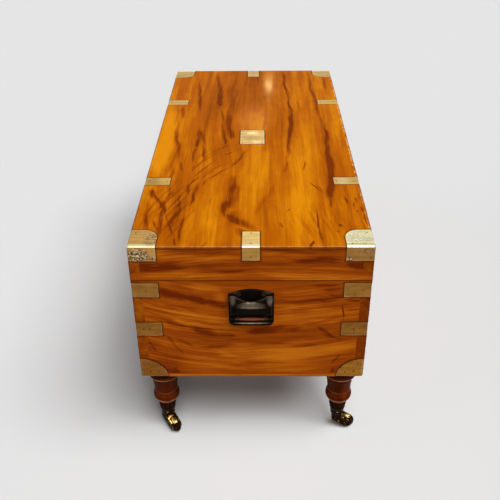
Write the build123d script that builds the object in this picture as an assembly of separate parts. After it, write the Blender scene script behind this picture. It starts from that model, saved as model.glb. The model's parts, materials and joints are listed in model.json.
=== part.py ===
from build123d import *
import os

# Brass-bound trunk with a hinged lid, on four turned legs with swivel castors.
# Millimetres, +Z up. Origin on the floor, under the middle of the case.
# The long axis is X, the lock is on the -Y side and the hinges are on the +Y side.

# Case
case_length = 1000.0
case_width = 460.0
lid_height = 76.0
base_height = 243.5
seam_gap = 0.5
board_thickness = 20.0
edge_round = 2.2
base_foot_round = 8.0
overcut = 1.0

# Lid top board: its upper part covers the rim, its lower part drops inside
top_cover = 6.0
top_rebate = 12.0

# Bottom planks: the lower part reaches the outside, the upper part sits inside
bottom_cover = 9.0
bottom_rebate = 9.0
plank_count = 5
plank_gap = 0.4

# Dovetails, as heights at the corner, and the slope of their cheeks
lid_tail_height = 53.0
base_pin_top = 15.0
base_pin_middle = 20.0
base_pin_middle_drop = 107.0
base_pin_bottom = 21.0
tail_slope = 1 / 7

# Brass leaf, its fold and the fine gap round each inlay
leaf = 1.6
fold_radius = 3.6
inlay_gap = 0.25
strap_width = 32.5
lid_corner_across = 53.0
lid_corner_along = 60.0
lid_corner_drop = 32.0
lid_corner_curve = 28.0
side_strap_inset = 265.0
side_strap_reach = 54.0
end_strap_reach = 54.0
lid_strap_drop = 31.0
plate_across = 58.0
plate_along = 83.0
plate_corner = 3.5
base_strap_reach = 52.0
upper_strap_drop = 6.0
middle_strap_drop = 100.5
base_corner_width = 56.0
base_corner_height = 48.5
base_corner_under = 38.0

# Brass pins
pin_radius = 1.5
pin_length = 13.0
pin_proud = 0.2
pin_clearance = 0.04
pin_margin = 11.0
pin_edge = 6.0
lid_corner_pin_rise = 7.0
lid_corner_pin_end = 8.0
lid_corner_pin_side = 16.0
lid_strap_pin_rise = 8.0
base_corner_end_pins = ((12.0, 34.0), (20.0, 14.0), (38.0, 13.0))
base_corner_side_pins = ((26.0, 31.0), (42.0, 13.0))
base_strap_end_pins = (16.0, 28.0)
base_strap_side_pins = (32.0, 44.0)

# Legs, as depths below the case
leg_inset = 42.0
collar_radius = 35.0
collar_depth = 20.0
collar_lip = 4.0
collar_swell = 0.8
collar_chamfer = 2.0
throat_radius = 27.0
throat_depth = 45.0
neck_radius = 25.0
neck_depth = 70.0
bead_radius = 28.0
bead_depth = 94.0
bead_step = 2.0
ankle_radius = 17.0
ankle_depth = 105.0
ankle_swell = 1.6
ankle_swell_height = 6.0
ankle_band = 1.0
ring_radius = 18.4
foot_band = 2.5
leg_depth = 118.5
foot_radius = 16.3
spigot_radius = 11.0
spigot_length = 13.0
spigot_clearance = 0.1

# Castors
wheel_radius = 17.0
wheel_width = 14.0
hub_proud = 0.3
hub_radius = 6.0
wheel_edge = 4.0
axle_radius = 2.5
axle_head_radius = 4.4
axle_head_height = 1.4
trail = 22.0
cheek_thickness = 3.4
cheek_gap = 0.6
cheek_radius = 10.5
horn_neck_back = 1.0
slot_clearance = 1.5
crown_radius = 12.0
crown_height = 5.4
crown_top = 41.0
swivel_gap = 0.3
stud_radius = 4.0
stud_head_radius = 6.5
stud_head_height = 2.0
stud_room_margin = 1.0
running_clearance = 0.06
cup_height = 22.2
cup_floor = 3.0
cup_wall = 2.6
cup_foot_radius = 14.2
cup_foot_chamfer = 1.0
cup_rim_height = 3.2
cup_rim_proud = 1.0
cup_clearance = 0.15
cup_screw_radius = 1.6
cup_screw_set = 0.9
cup_screw_length = 8.0
castor_turns = {
    "front_right": 42.0,
    "back_right": 84.0,
    "front_left": 205.0,
    "back_left": 140.0,
}

# Carrying handles
handle_width = 88.0
handle_height = 84.0
handle_drop = 94.5
handle_arch = 13.0
handle_thickness = 4.0
handle_edge = 1.2
handle_corner = 13.0
handle_rim = 6.0
handle_rim_proud = 4.0
handle_rim_height = 17.0
pivot_drop = 16.0
pivot_standoff = 13.0
ear_radius = 6.5
ear_thickness = 3.4
ear_gap = 0.4
trunnion_radius = 3.0
trunnion_recess = 0.5
arm_radius = 5.6
arm_width = 9.0
heel_gap = 0.3
grip_drop = 21.0
grip_height = 30.0
grip_depth = 14.0
grip_offset = 2.0
window_drop = 6.0
window_rise = 8.0
handle_screw_radius = 2.4
handle_screw_head = 5.0
handle_screw_sink = 2.2
handle_screw_length = 18.0
handle_screw_rows = ((11.0, 24.5), (69.0, 27.0))

# Hinges
hinge_length = 76.0
hinge_inset = 190.0
hinge_leaf = 2.2
hinge_leaf_width = 17.0
knuckle_radius = 4.5
knuckle_count = 5
knuckle_gap = 0.4
knuckle_standoff = 0.4
hinge_pin_radius = 2.0
hinge_pin_head = 3.2
hinge_pin_head_height = 1.2
hinge_screw_radius = 1.8
hinge_screw_head = 3.4
hinge_screw_sink = 1.5
hinge_screw_length = 14.0
hinge_screw_count = 3

# Lock
lock_width = 76.0
lock_height = 46.0
lock_depth = 12.0
lock_wall = 1.6
bolt_thickness = 4.0
bolt_back_gap = 0.4
bolt_bar_top = 17.5
bolt_bar_height = 7.5
bolt_bar_right = 14.0
bolt_upright_width = 8.0
bolt_upright_inset = 2.0
bolt_prong_top = 8.0
bolt_prong_height = 6.0
bolt_prong_root = 3.0
bolt_prong_clearance = 2.0
bolt_travel = 9.0
talon_radius = 3.0
bolt_guide_gap = 0.3
guide_height = 2.0
key_space = 14.0
loop_thickness = 4.0
loop_depth = 16.0
loop_side = 1.3
loop_hole_clearance = 0.6
loop_slot_clearance = 1.0
link_length = 60.0
link_width = 12.0
link_thickness = 2.0
keyhole_radius = 3.6
keyhole_slot = 3.0
keyhole_tail = 9.0
keyhole_drop = 29.0
escutcheon_width = 34.0
escutcheon_height = 52.0
escutcheon_roundness = 0.94
lock_screw_radius = 1.6
lock_screw_head = 2.8
lock_screw_sink = 1.0
lock_screw_length = 9.0
lock_screw_inset = 5.0

# Worked-out places
half_length = case_length / 2
half_width = case_width / 2
inner_length = half_length - board_thickness
inner_width = half_width - board_thickness
case_bottom = crown_top + swivel_gap + cup_height + leg_depth
base_rim = case_bottom + base_height
lid_rim = base_rim + seam_gap
lid_top = lid_rim + lid_height
seam_middle = base_rim + seam_gap / 2
lid_board_top = lid_top - top_cover
base_board_bottom = case_bottom + bottom_cover
corner_signs = {
    "front_right": (1, -1),
    "back_right": (1, 1),
    "front_left": (-1, -1),
    "back_left": (-1, 1),
}
parts = {}


def block(x_limits, y_limits, z_limits):
    """A rectangular solid between three pairs of limits, in any order."""
    limits = (x_limits, y_limits, z_limits)
    middle = [(low + high) / 2 for low, high in limits]
    size = [abs(high - low) for low, high in limits]
    return Pos(*middle) * Box(*size)


def rod(point, direction, length, radius):
    """A round bar from a point along a direction."""
    plane = Plane(origin=point, z_dir=direction)
    return plane * Pos(0, 0, length / 2) * Cylinder(radius, length)


def screw(point, outward, length, radius, head_radius, sink):
    """A countersunk screw whose flat head lies in the surface at a point."""
    plane = Plane(origin=point, z_dir=outward)
    head = Pos(0, 0, -sink / 2) * Cone(radius, head_radius, sink)
    shank = Pos(0, 0, -length / 2) * Cylinder(radius, length)
    return plane * (head + shank)


def turned(edges):
    """A solid of revolution about Z from an outline in radius and height."""
    return revolve(make_face(Plane.XZ * Curve(edges)), Axis.Z)


def rounded_case(bottom, top, inset, radius, round_top):
    """The case outline between two heights, with its outer corners rounded."""
    body = block(
        (-half_length + inset, half_length - inset),
        (-half_width + inset, half_width - inset),
        (bottom, top),
    )
    closed_height = top if round_top else bottom
    edges = body.edges().filter_by(Axis.Z) + body.edges().filter_by_position(
        Axis.Z, closed_height, closed_height
    )
    return fillet(edges, radius)


def foot_profile(inset):
    """A bar along the case whose two lower edges have the base's long rounding."""
    bar = block(
        (-case_length, case_length),
        (-half_width + inset, half_width - inset),
        (case_bottom + inset, lid_top),
    )
    edges = bar.edges().filter_by(Axis.X).sort_by(Axis.Z)[:2]
    return fillet(edges, base_foot_round - inset)


def overlaps(shape, other):
    """Whether the bounding boxes of two shapes meet."""
    one = shape.bounding_box()
    two = other.bounding_box()
    return all(
        getattr(one.min, side) < getattr(two.max, side)
        and getattr(two.min, side) < getattr(one.max, side)
        for side in "XYZ"
    )


def cut(shape, tools):
    """A shape less every tool that reaches it."""
    near = [tool for tool in tools if overlaps(shape, tool)]
    return shape - near if near else shape


def group(solids):
    """Separate solids as one node."""
    return Compound(children=[solid for piece in solids for solid in piece.solids()])


# Outlines that the boards and the brass share
base_outline = rounded_case(case_bottom, base_rim, 0, edge_round, False) & foot_profile(0)
lid_outline = rounded_case(lid_rim, lid_top, 0, edge_round, True)
core_radius = fold_radius - leaf
base_core = rounded_case(case_bottom + leaf, base_rim + overcut, leaf, core_radius, False)
base_core = base_core & foot_profile(leaf)
lid_core = rounded_case(lid_rim - overcut, lid_top - leaf, leaf, core_radius, True)
base_skin = rounded_case(case_bottom, base_rim, 0, fold_radius, False) & foot_profile(0)
base_skin = base_skin - base_core
lid_skin = rounded_case(lid_rim, lid_top, 0, fold_radius, True) - lid_core


# Brass regions, each drawn as wide as the leaf plus a growth all round
def lid_corner_region(sign_x, sign_y, grow):
    """A three-way corner: a top leaf with a rounded inner corner and two drops."""
    across = lid_corner_across + grow
    along = lid_corner_along + grow
    drop = lid_corner_drop + grow
    top_leaf = block(
        (half_length - along, half_length + overcut),
        (half_width - across, half_width + overcut),
        (lid_top - fold_radius, lid_top + overcut),
    )
    inner_edge = top_leaf.edges().filter_by(Axis.Z).sort_by_distance((0, 0, lid_top))[0]
    top_leaf = fillet(inner_edge, lid_corner_curve + grow)
    end_drop = block(
        (half_length - fold_radius, half_length + overcut),
        (half_width - across, half_width + overcut),
        (lid_top - drop, lid_top + overcut),
    )
    side_drop = block(
        (half_length - along, half_length + overcut),
        (half_width - fold_radius, half_width + overcut),
        (lid_top - drop, lid_top + overcut),
    )
    return mirrored(top_leaf + end_drop + side_drop, sign_x, sign_y)


def base_corner_region(sign_x, sign_y, grow):
    """A quarter-round leaf on the end, one on the side and one underneath."""
    wide = base_corner_width + grow
    high = base_corner_height + grow
    deep = fold_radius + overcut
    end_leaf = Plane.YZ * Ellipse(wide, high)
    end_leaf = Pos(half_length - fold_radius, half_width, case_bottom) * extrude(end_leaf, deep)
    side_leaf = Plane.XZ * Ellipse(wide, high)
    side_leaf = Pos(half_length, half_width + overcut, case_bottom) * extrude(side_leaf, deep)
    under = Pos(half_length, half_width, case_bottom) * Cylinder(
        base_corner_under + grow, 2 * fold_radius
    )
    return mirrored(end_leaf + side_leaf + under, sign_x, sign_y)


def base_strap_region(sign_x, sign_y, drop, grow):
    """A strap round an upright corner, its top edge a drop below the base rim."""
    strap = block(
        (half_length - base_strap_reach - grow, half_length + overcut),
        (half_width - base_strap_reach - grow, half_width + overcut),
        (base_rim - drop - strap_width - grow, base_rim - drop + grow),
    )
    return mirrored(strap, sign_x, sign_y)


def side_strap_region(sign_x, sign_y, grow):
    """A strap from the lid's top down its long side."""
    centre = half_length - side_strap_inset
    strap = block(
        (centre - strap_width / 2 - grow, centre + strap_width / 2 + grow),
        (half_width - side_strap_reach - grow, half_width + overcut),
        (lid_top - lid_strap_drop - grow, lid_top + overcut),
    )
    return mirrored(strap, sign_x, sign_y)


def end_strap_region(sign_x, grow):
    """A strap from the lid's top down the middle of its end."""
    strap = block(
        (half_length - end_strap_reach - grow, half_length + overcut),
        (-strap_width / 2 - grow, strap_width / 2 + grow),
        (lid_top - lid_strap_drop - grow, lid_top + overcut),
    )
    return mirrored(strap, sign_x, 1)


def plate_region(grow):
    """The centre plate's outline, as deep as its leaf."""
    plate = block(
        (-plate_along / 2 - grow, plate_along / 2 + grow),
        (-plate_across / 2 - grow, plate_across / 2 + grow),
        (lid_top - leaf, lid_top + overcut),
    )
    return fillet(plate.edges().filter_by(Axis.Z), plate_corner + grow)


def mirrored(shape, sign_x, sign_y):
    """A shape drawn at the +X +Y corner, moved to another corner by mirrors."""
    if sign_x < 0:
        shape = mirror(shape, about=Plane.YZ)
    if sign_y < 0:
        shape = mirror(shape, about=Plane.XZ)
    return shape


def pin_at(points_and_directions, grow):
    """Brass pins, or with a growth the holes for them, at points on the surface."""
    pins = []
    for point, inward in points_and_directions:
        start = tuple(place - pin_proud * way for place, way in zip(point, inward))
        pins.append(rod(start, inward, pin_length + pin_proud, pin_radius + grow))
    return pins


# Pin places, drawn at the +X +Y corner
down = (0, 0, -1)
from_end = (-1, 0, 0)
from_side = (0, -1, 0)
lid_corner_low = lid_top - lid_corner_drop + lid_corner_pin_rise
lid_strap_low = lid_top - lid_strap_drop + lid_strap_pin_rise
side_strap_x = half_length - side_strap_inset
lid_corner_pins = [
    ((half_length - pin_margin, half_width - lid_corner_across + pin_margin, lid_top), down),
    ((half_length - lid_corner_along + pin_margin, half_width - pin_margin, lid_top), down),
    ((half_length, half_width - lid_corner_across + pin_edge, lid_corner_low), from_end),
    ((half_length, half_width - lid_corner_pin_end, lid_corner_low), from_end),
    ((half_length - lid_corner_along + pin_edge, half_width, lid_corner_low), from_side),
    ((half_length - lid_corner_pin_side, half_width, lid_corner_low), from_side),
]
side_strap_pins = [
    ((side_strap_x, half_width - side_strap_reach + pin_edge, lid_top), down),
    ((side_strap_x, half_width - pin_margin, lid_top), down),
    ((side_strap_x, half_width, lid_strap_low), from_side),
]
end_strap_pins = [
    ((half_length - end_strap_reach + pin_edge, 0, lid_top), down),
    ((half_length - pin_margin, 0, lid_top), down),
    ((half_length, 0, lid_strap_low), from_end),
]
plate_pins = [((plate_along / 2 - pin_edge, plate_across / 2 - pin_edge, lid_top), down)]
base_corner_pins = [
    ((half_length, half_width - across, case_bottom + rise), from_end)
    for across, rise in base_corner_end_pins
] + [
    ((half_length - along, half_width, case_bottom + rise), from_side)
    for along, rise in base_corner_side_pins
]


def strap_pins(drop):
    """Two pins in each leaf of a corner strap."""
    height = base_rim - drop - strap_width / 2
    on_end = [((half_length, half_width - across, height), from_end) for across in base_strap_end_pins]
    on_side = [((half_length - along, half_width, height), from_side) for along in base_strap_side_pins]
    return on_end + on_side


def spread(pins, signs):
    """Pin places repeated at the mirrored corners."""
    places = []
    for sign_x, sign_y in signs:
        for (x, y, z), (way_x, way_y, way_z) in pins:
            point = (sign_x * x, sign_y * y, z)
            places.append((point, (sign_x * way_x, sign_y * way_y, way_z)))
    return places


four_corners = list(corner_signs.values())
lid_pin_places = (
    spread(lid_corner_pins + side_strap_pins + plate_pins, four_corners)
    + spread(end_strap_pins, [(1, 1), (-1, 1)])
)
base_pin_places = spread(
    base_corner_pins + strap_pins(upper_strap_drop) + strap_pins(middle_strap_drop),
    four_corners,
)
lid_pin_holes = pin_at(lid_pin_places, pin_clearance)
base_pin_holes = pin_at(base_pin_places, pin_clearance)

# Recesses for the brass
lid_recesses = [plate_region(inlay_gap)]
base_recesses = []
for sign_x, sign_y in four_corners:
    lid_recesses.append(lid_corner_region(sign_x, sign_y, inlay_gap) - lid_core)
    lid_recesses.append(side_strap_region(sign_x, sign_y, inlay_gap) - lid_core)
    base_recesses.append(base_corner_region(sign_x, sign_y, inlay_gap) - base_core)
    for drop in (upper_strap_drop, middle_strap_drop):
        base_recesses.append(base_strap_region(sign_x, sign_y, drop, inlay_gap) - base_core)
for sign_x in (1, -1):
    lid_recesses.append(end_strap_region(sign_x, inlay_gap) - lid_core)


# Hinges
hinge_axis_y = half_width + knuckle_radius + knuckle_standoff
hinge_centres = (half_length - hinge_inset, -half_length + hinge_inset)
knuckle_pitch = hinge_length / knuckle_count


def hinge_leaves(centre, lid_side):
    """One leaf let into a board's edge, with its share of the knuckles."""
    face = lid_rim if lid_side else base_rim
    back = face + hinge_leaf if lid_side else face - hinge_leaf
    leaves = block(
        (centre - hinge_length / 2, centre + hinge_length / 2),
        (half_width - hinge_leaf_width, half_width),
        (face, back),
    )
    for index in range(knuckle_count):
        if (index % 2 == 1) != lid_side:
            continue
        low = centre - hinge_length / 2 + index * knuckle_pitch + knuckle_gap / 2
        high = low + knuckle_pitch - knuckle_gap
        leaves += block((low, high), (half_width - overcut, hinge_axis_y), (face, back))
        leaves += rod((low, hinge_axis_y, seam_middle), (1, 0, 0), high - low, knuckle_radius)
    grow = running_clearance if lid_side else pin_clearance
    start = (centre - hinge_length, hinge_axis_y, seam_middle)
    return leaves - rod(start, (1, 0, 0), 2 * hinge_length, hinge_pin_radius + grow)


def hinge_screw_set(centre, lid_side, grow):
    """Countersunk screws through a leaf, or with a growth the holes for them."""
    face = lid_rim if lid_side else base_rim
    outward = (0, 0, -1) if lid_side else (0, 0, 1)
    spacing = hinge_length / hinge_screw_count
    screws = []
    for index in range(hinge_screw_count):
        x = centre + (index - (hinge_screw_count - 1) / 2) * spacing
        point = (x, half_width - hinge_leaf_width / 2, face)
        screws.append(
            screw(
                point,
                outward,
                hinge_screw_length + grow,
                hinge_screw_radius + grow,
                hinge_screw_head + grow,
                hinge_screw_sink,
            )
        )
    return screws


base_hinge_holes = []
lid_hinge_holes = []
base_hinge_gains = []
lid_hinge_gains = []
for centre in hinge_centres:
    base_hinge_holes += hinge_screw_set(centre, False, pin_clearance)
    lid_hinge_holes += hinge_screw_set(centre, True, pin_clearance)
    gain_x = (centre - hinge_length / 2 - inlay_gap, centre + hinge_length / 2 + inlay_gap)
    gain_y = (half_width - hinge_leaf_width - inlay_gap, half_width + overcut)
    base_hinge_gains.append(block(gain_x, gain_y, (base_rim - hinge_leaf, base_rim + overcut)))
    lid_hinge_gains.append(block(gain_x, gain_y, (lid_rim - overcut, lid_rim + hinge_leaf)))


# Lock, drawn at the middle of the front board
lock_front = -inner_width - lock_depth
lock_cap_face = -inner_width - lock_wall
cavity_front = lock_front + lock_wall
bolt_back = lock_cap_face - bolt_back_gap - (lock_depth - 2 * lock_wall - bolt_thickness) / 2
bolt_front = bolt_back - bolt_thickness
key_height = base_rim - keyhole_drop


def keyhole(y_limits):
    """A keyhole right through a wall: a round top with a straight tail."""
    start = (0, y_limits[0], key_height)
    bow = rod(start, (0, 1, 0), y_limits[1] - y_limits[0], keyhole_radius)
    tail_limits = (key_height - keyhole_tail, key_height)
    return bow + block((-keyhole_slot / 2, keyhole_slot / 2), y_limits, tail_limits)


def lock_case():
    """The case, open at the back, with guides for the bolt and a slot on top."""
    half = lock_width / 2
    outer = block((-half, half), (lock_front, lock_cap_face), (base_rim - lock_height, base_rim))
    cavity = block(
        (-half + lock_wall, half - lock_wall),
        (cavity_front, lock_cap_face),
        (base_rim - lock_height + lock_wall, base_rim - lock_wall),
    )
    slot_half = loop_thickness / 2 + loop_slot_clearance
    slot = block(
        (-slot_half, slot_half),
        (cavity_front, lock_cap_face),
        (base_rim - lock_wall - overcut, base_rim + overcut),
    )
    guide_top = base_rim - bolt_bar_top - bolt_bar_height - bolt_guide_gap
    case = outer - cavity - slot
    for side in (-1, 1):
        inner = side * key_space / 2
        guide = block(
            (inner, side * (half - lock_wall)),
            (cavity_front, lock_cap_face),
            (guide_top - guide_height, guide_top),
        )
        case += guide
    return case - keyhole((lock_front - overcut, cavity_front + overcut))


def lock_bolt():
    """A bar with an upright and a prong that slides through the link's loop."""
    bar_top = base_rim - bolt_bar_top
    bar_bottom = bar_top - bolt_bar_height
    prong_top = base_rim - bolt_prong_top
    prong_tip = -loop_thickness / 2 - bolt_prong_clearance
    root = prong_tip - bolt_prong_root - bolt_travel
    upright = root - bolt_upright_width
    depth = (bolt_front, bolt_back)
    bolt = block((upright - bolt_upright_inset, bolt_bar_right), depth, (bar_bottom, bar_top))
    bolt += block((upright, root), depth, (bar_top, prong_top))
    bolt += block((upright, prong_tip), depth, (prong_top - bolt_prong_height, prong_top))
    talon_start = (0, bolt_front - overcut, bar_bottom)
    return bolt - rod(talon_start, (0, 1, 0), bolt_thickness + 2 * overcut, talon_radius)


def link_plate():
    """A plate in the lid's front edge, with the loop that drops into the lock."""
    plate_top = lid_rim + link_thickness
    plate = block(
        (-link_length / 2, link_length / 2),
        (lock_front, lock_front + link_width),
        (lid_rim, plate_top),
    )
    hole_front = bolt_front - loop_hole_clearance
    hole_back = bolt_back + loop_hole_clearance
    prong_top = base_rim - bolt_prong_top
    loop = block(
        (-loop_thickness / 2, loop_thickness / 2),
        (hole_front - loop_side, hole_back + loop_side),
        (base_rim - loop_depth, plate_top),
    )
    hole = block(
        (-loop_thickness, loop_thickness),
        (hole_front, hole_back),
        (prong_top - bolt_prong_height - loop_hole_clearance, prong_top + loop_hole_clearance),
    )
    return plate + loop - hole


def escutcheon(grow):
    """A plain plate with round ends, let in flush round the keyhole."""
    width = escutcheon_width + 2 * grow
    height = escutcheon_height + 2 * grow
    outline = Plane.XZ * RectangleRounded(width, height, escutcheon_roundness * width / 2)
    return Pos(0, -half_width + leaf, key_height) * extrude(outline, leaf)


lock_screw_places = [
    (side * (lock_width / 2 - lock_screw_inset), -inner_width, base_rim - drop)
    for side in (-1, 1)
    for drop in (lock_screw_inset, lock_height - lock_screw_inset)
]
link_screw_places = [(side * link_length / 3, lock_front + link_width / 2, lid_rim) for side in (-1, 1)]


def small_screws(places, outward, length, grow):
    """The lock's small countersunk screws at each place."""
    radius = lock_screw_radius + grow
    head = lock_screw_head + grow
    return [screw(place, outward, length + grow, radius, head, lock_screw_sink) for place in places]


def lock_screws(grow):
    """Screws through the cap and the case into the front board."""
    return small_screws(lock_screw_places, (0, 1, 0), lock_depth + lock_screw_length / 2, grow)


def link_screws(grow):
    """Screws through the link plate into the lid's front board."""
    return small_screws(link_screw_places, (0, 0, -1), lock_screw_length, grow)


# Boards
def tail(sign_x, sign_y, low, high, ease_low, ease_high):
    """A dovetail at the end of a long board, widest at the case's end."""
    narrow = tail_slope * board_thickness
    outline = Plane.XZ * make_face(
        Polyline(
            (inner_length, low + narrow * ease_low),
            (half_length, low),
            (half_length, high),
            (inner_length, high - narrow * ease_high),
            close=True,
        )
    )
    return mirrored(Pos(0, half_width, 0) * extrude(outline, board_thickness), sign_x, sign_y)


def base_tails(sign_x, sign_y):
    """The two tails at one corner of the base, between three pins."""
    middle_high = base_rim - base_pin_middle_drop
    middle_low = middle_high - base_pin_middle
    return [
        tail(sign_x, sign_y, middle_high, base_rim - base_pin_top, 1, 1),
        tail(sign_x, sign_y, base_board_bottom + base_pin_bottom, middle_low, 1, 1),
    ]


def lid_tails(sign_x, sign_y):
    """The one deep tail at a corner of the lid, above a half pin."""
    return [tail(sign_x, sign_y, lid_board_top - lid_tail_height, lid_board_top, 1, 0)]


def long_board(sign_y, bottom, top, tails, outline):
    """A long board with tails at both ends."""
    board = block(
        (-inner_length, inner_length),
        (sign_y * inner_width, sign_y * half_width),
        (bottom, top),
    )
    for sign_x in (1, -1):
        for piece in tails(sign_x, sign_y):
            board += piece
    return board & outline


def end_board(sign_x, bottom, top, tails, outline):
    """An end board, cut away where the tails come through."""
    board = block(
        (sign_x * inner_length, sign_x * half_length),
        (-half_width, half_width),
        (bottom, top),
    )
    for sign_y in (1, -1):
        board -= tails(sign_x, sign_y)
    return board & outline


def leg_places():
    """The plan position of each leg."""
    return {
        name: (sign_x * (half_length - leg_inset), sign_y * (half_width - leg_inset))
        for name, (sign_x, sign_y) in corner_signs.items()
    }


def bottom_planks():
    """Planks across the bottom, stepped to fit inside the boards."""
    pitch = case_length / plank_count
    spigot_holes = [
        rod(
            (x, y, case_bottom - overcut),
            (0, 0, 1),
            spigot_length + overcut + spigot_clearance,
            spigot_radius + spigot_clearance,
        )
        for x, y in leg_places().values()
    ]
    planks = []
    for index in range(plank_count):
        low = -half_length + index * pitch + plank_gap / 2
        high = low + pitch - plank_gap
        low = -half_length if index == 0 else low
        high = half_length if index == plank_count - 1 else high
        plank = block((low, high), (-half_width, half_width), (case_bottom, base_board_bottom))
        plank = plank & base_outline
        plank += block(
            (max(low, -inner_length), min(high, inner_length)),
            (-inner_width, inner_width),
            (base_board_bottom, base_board_bottom + bottom_rebate),
        )
        planks.append(cut(plank, base_recesses + spigot_holes))
    return planks


# Handles, drawn on the right end and mirrored
handle_top = lid_top - handle_drop
pivot_height = handle_top - pivot_drop
pivot_x = half_length + pivot_standoff
ear_outer = handle_width / 2
ear_inner = ear_outer - ear_thickness
bail_outer = ear_inner - ear_gap


def handle_outline(inset):
    """The plate's outline: an arched top, straight sides and round lower corners."""
    half = handle_width / 2 - inset
    top = handle_top - inset
    shoulder = top - handle_arch
    bottom = handle_top - handle_height + inset
    corner = handle_corner - inset
    bend = corner * (1 - 2**-0.5)
    edges = [
        ThreePointArc((-half, shoulder), (0, top), (half, shoulder)),
        Line((half, shoulder), (half, bottom + corner)),
        ThreePointArc((half, bottom + corner), (half - bend, bottom + bend), (half - corner, bottom)),
        Line((half - corner, bottom), (-half + corner, bottom)),
        ThreePointArc((-half + corner, bottom), (-half + bend, bottom + bend), (-half, bottom + corner)),
        Line((-half, bottom + corner), (-half, shoulder)),
    ]
    return Pos(half_length, 0, 0) * make_face(Plane.YZ * Curve(edges))


def handle_screws(grow):
    """Countersunk screws through the plate into the end board."""
    places = []
    for drop, across in handle_screw_rows:
        for side in (-1, 1):
            point = (half_length + handle_thickness, side * across, handle_top - drop)
            places.append(
                screw(
                    point,
                    (1, 0, 0),
                    handle_screw_length + grow,
                    handle_screw_radius + grow,
                    handle_screw_head + grow,
                    handle_screw_sink,
                )
            )
    return places


def handle_plate():
    """The backplate with its raised lower rim and two ears for the bail."""
    plate = extrude(handle_outline(0), handle_thickness, dir=(1, 0, 0))
    plate = fillet(plate.faces().sort_by(Axis.X)[-1].edges(), handle_edge)
    rim_total = handle_thickness + handle_rim_proud
    rim = extrude(handle_outline(0), rim_total, dir=(1, 0, 0))
    rim -= extrude(handle_outline(handle_rim), rim_total, dir=(1, 0, 0))
    rim_top = handle_top - handle_height + handle_rim_height
    plate += rim & block(
        (half_length, half_length + rim_total), (-ear_outer, ear_outer), (case_bottom, rim_top)
    )
    for side in (-1, 1):
        plate += rod((pivot_x, side * ear_outer, pivot_height), (0, -side, 0), ear_thickness, ear_radius)
        plate += block(
            (half_length, pivot_x),
            (side * ear_inner, side * ear_outer),
            (pivot_height - ear_radius, pivot_height + ear_radius),
        )
    bore_radius = trunnion_radius + running_clearance
    bore = rod((pivot_x, -handle_width, pivot_height), (0, 1, 0), 2 * handle_width, bore_radius)
    return cut(plate - bore, handle_screws(pin_clearance))


def handle_bail():
    """A broad oval grip with a scooped edge, two arms, heels and trunnions."""
    grip_middle = pivot_height - grip_drop
    grip_face = Pos(pivot_x + grip_offset, grip_middle) * Ellipse(grip_depth / 2, grip_height / 2)
    pivot_face = Pos(pivot_x, pivot_height) * Circle(arm_radius)
    arm_face = make_hull(grip_face.edges() + pivot_face.edges())
    bail = Pos(0, bail_outer, 0) * extrude(Plane.XZ * arm_face, 2 * bail_outer)
    heel_top = pivot_height + pivot_standoff - handle_thickness - heel_gap
    bail += block((pivot_x, pivot_x + arm_radius), (-bail_outer, bail_outer), (pivot_height, heel_top))
    half_window = bail_outer - arm_width
    window_low = pivot_height - window_drop
    window_side = window_low + window_rise
    window_top = heel_top + overcut
    edges = [
        ThreePointArc((-half_window, window_side), (0, window_low), (half_window, window_side)),
        Line((half_window, window_side), (half_window, window_top)),
        Line((half_window, window_top), (-half_window, window_top)),
        Line((-half_window, window_top), (-half_window, window_side)),
    ]
    window = extrude(Plane.YZ * make_face(Curve(edges)), handle_width, dir=(1, 0, 0))
    bail -= Pos(half_length, 0, 0) * window
    for side in (-1, 1):
        start = (pivot_x, side * (ear_outer - trunnion_recess), pivot_height)
        length = ear_outer - trunnion_recess - half_window
        bail += rod(start, (0, -side, 0), length, trunnion_radius)
    return bail


# Legs and castors, drawn about the leg's own axis
def leg():
    """A turned leg: collar, throat, neck, bead, ring and the tenon in its cup."""
    top = case_bottom
    foot = top - leg_depth
    tenon_radius = foot_radius - cup_wall - cup_clearance
    tenon_tip = cup_foot_radius - cup_wall - cup_clearance
    tenon_bottom = crown_top + swivel_gap + cup_floor
    ring_low = foot + foot_band
    ring_high = top - ankle_depth - ankle_band
    bead_low = (neck_radius - bead_step, top - bead_depth)
    lip = (collar_radius - collar_lip, top - collar_depth - collar_lip)
    outline = Polyline(
        (0, tenon_bottom),
        (tenon_tip, tenon_bottom),
        (tenon_radius, foot),
        (foot_radius, foot),
        (foot_radius, ring_low),
    ).edges()
    outline += [
        ThreePointArc(
            (foot_radius, ring_low),
            (ring_radius, (ring_low + ring_high) / 2),
            (ankle_radius, ring_high),
        ),
        Line((ankle_radius, ring_high), (ankle_radius, top - ankle_depth)),
        ThreePointArc(
            (ankle_radius, top - ankle_depth),
            (ankle_radius + ankle_swell, top - ankle_depth + ankle_swell_height),
            bead_low,
        ),
        ThreePointArc(
            bead_low,
            (bead_radius, top - (neck_depth + bead_depth) / 2),
            (neck_radius, top - neck_depth),
        ),
        ThreePointArc(
            (neck_radius, top - neck_depth),
            (throat_radius, top - throat_depth),
            lip,
        ),
        ThreePointArc(
            lip,
            (collar_radius - collar_swell, top - collar_depth - collar_lip / 2),
            (collar_radius, top - collar_depth),
        ),
    ]
    outline += Polyline(
        (collar_radius, top - collar_depth),
        (collar_radius, top - collar_chamfer),
        (collar_radius - collar_chamfer, top),
        (spigot_radius, top),
        (spigot_radius, top + spigot_length),
        (0, top + spigot_length),
        (0, tenon_bottom),
    ).edges()
    room_height = swivel_gap + stud_head_height + stud_room_margin
    room = Cylinder(stud_head_radius + stud_room_margin, 2 * room_height)
    return turned(outline) - Pos(0, 0, tenon_bottom) * room


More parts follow.
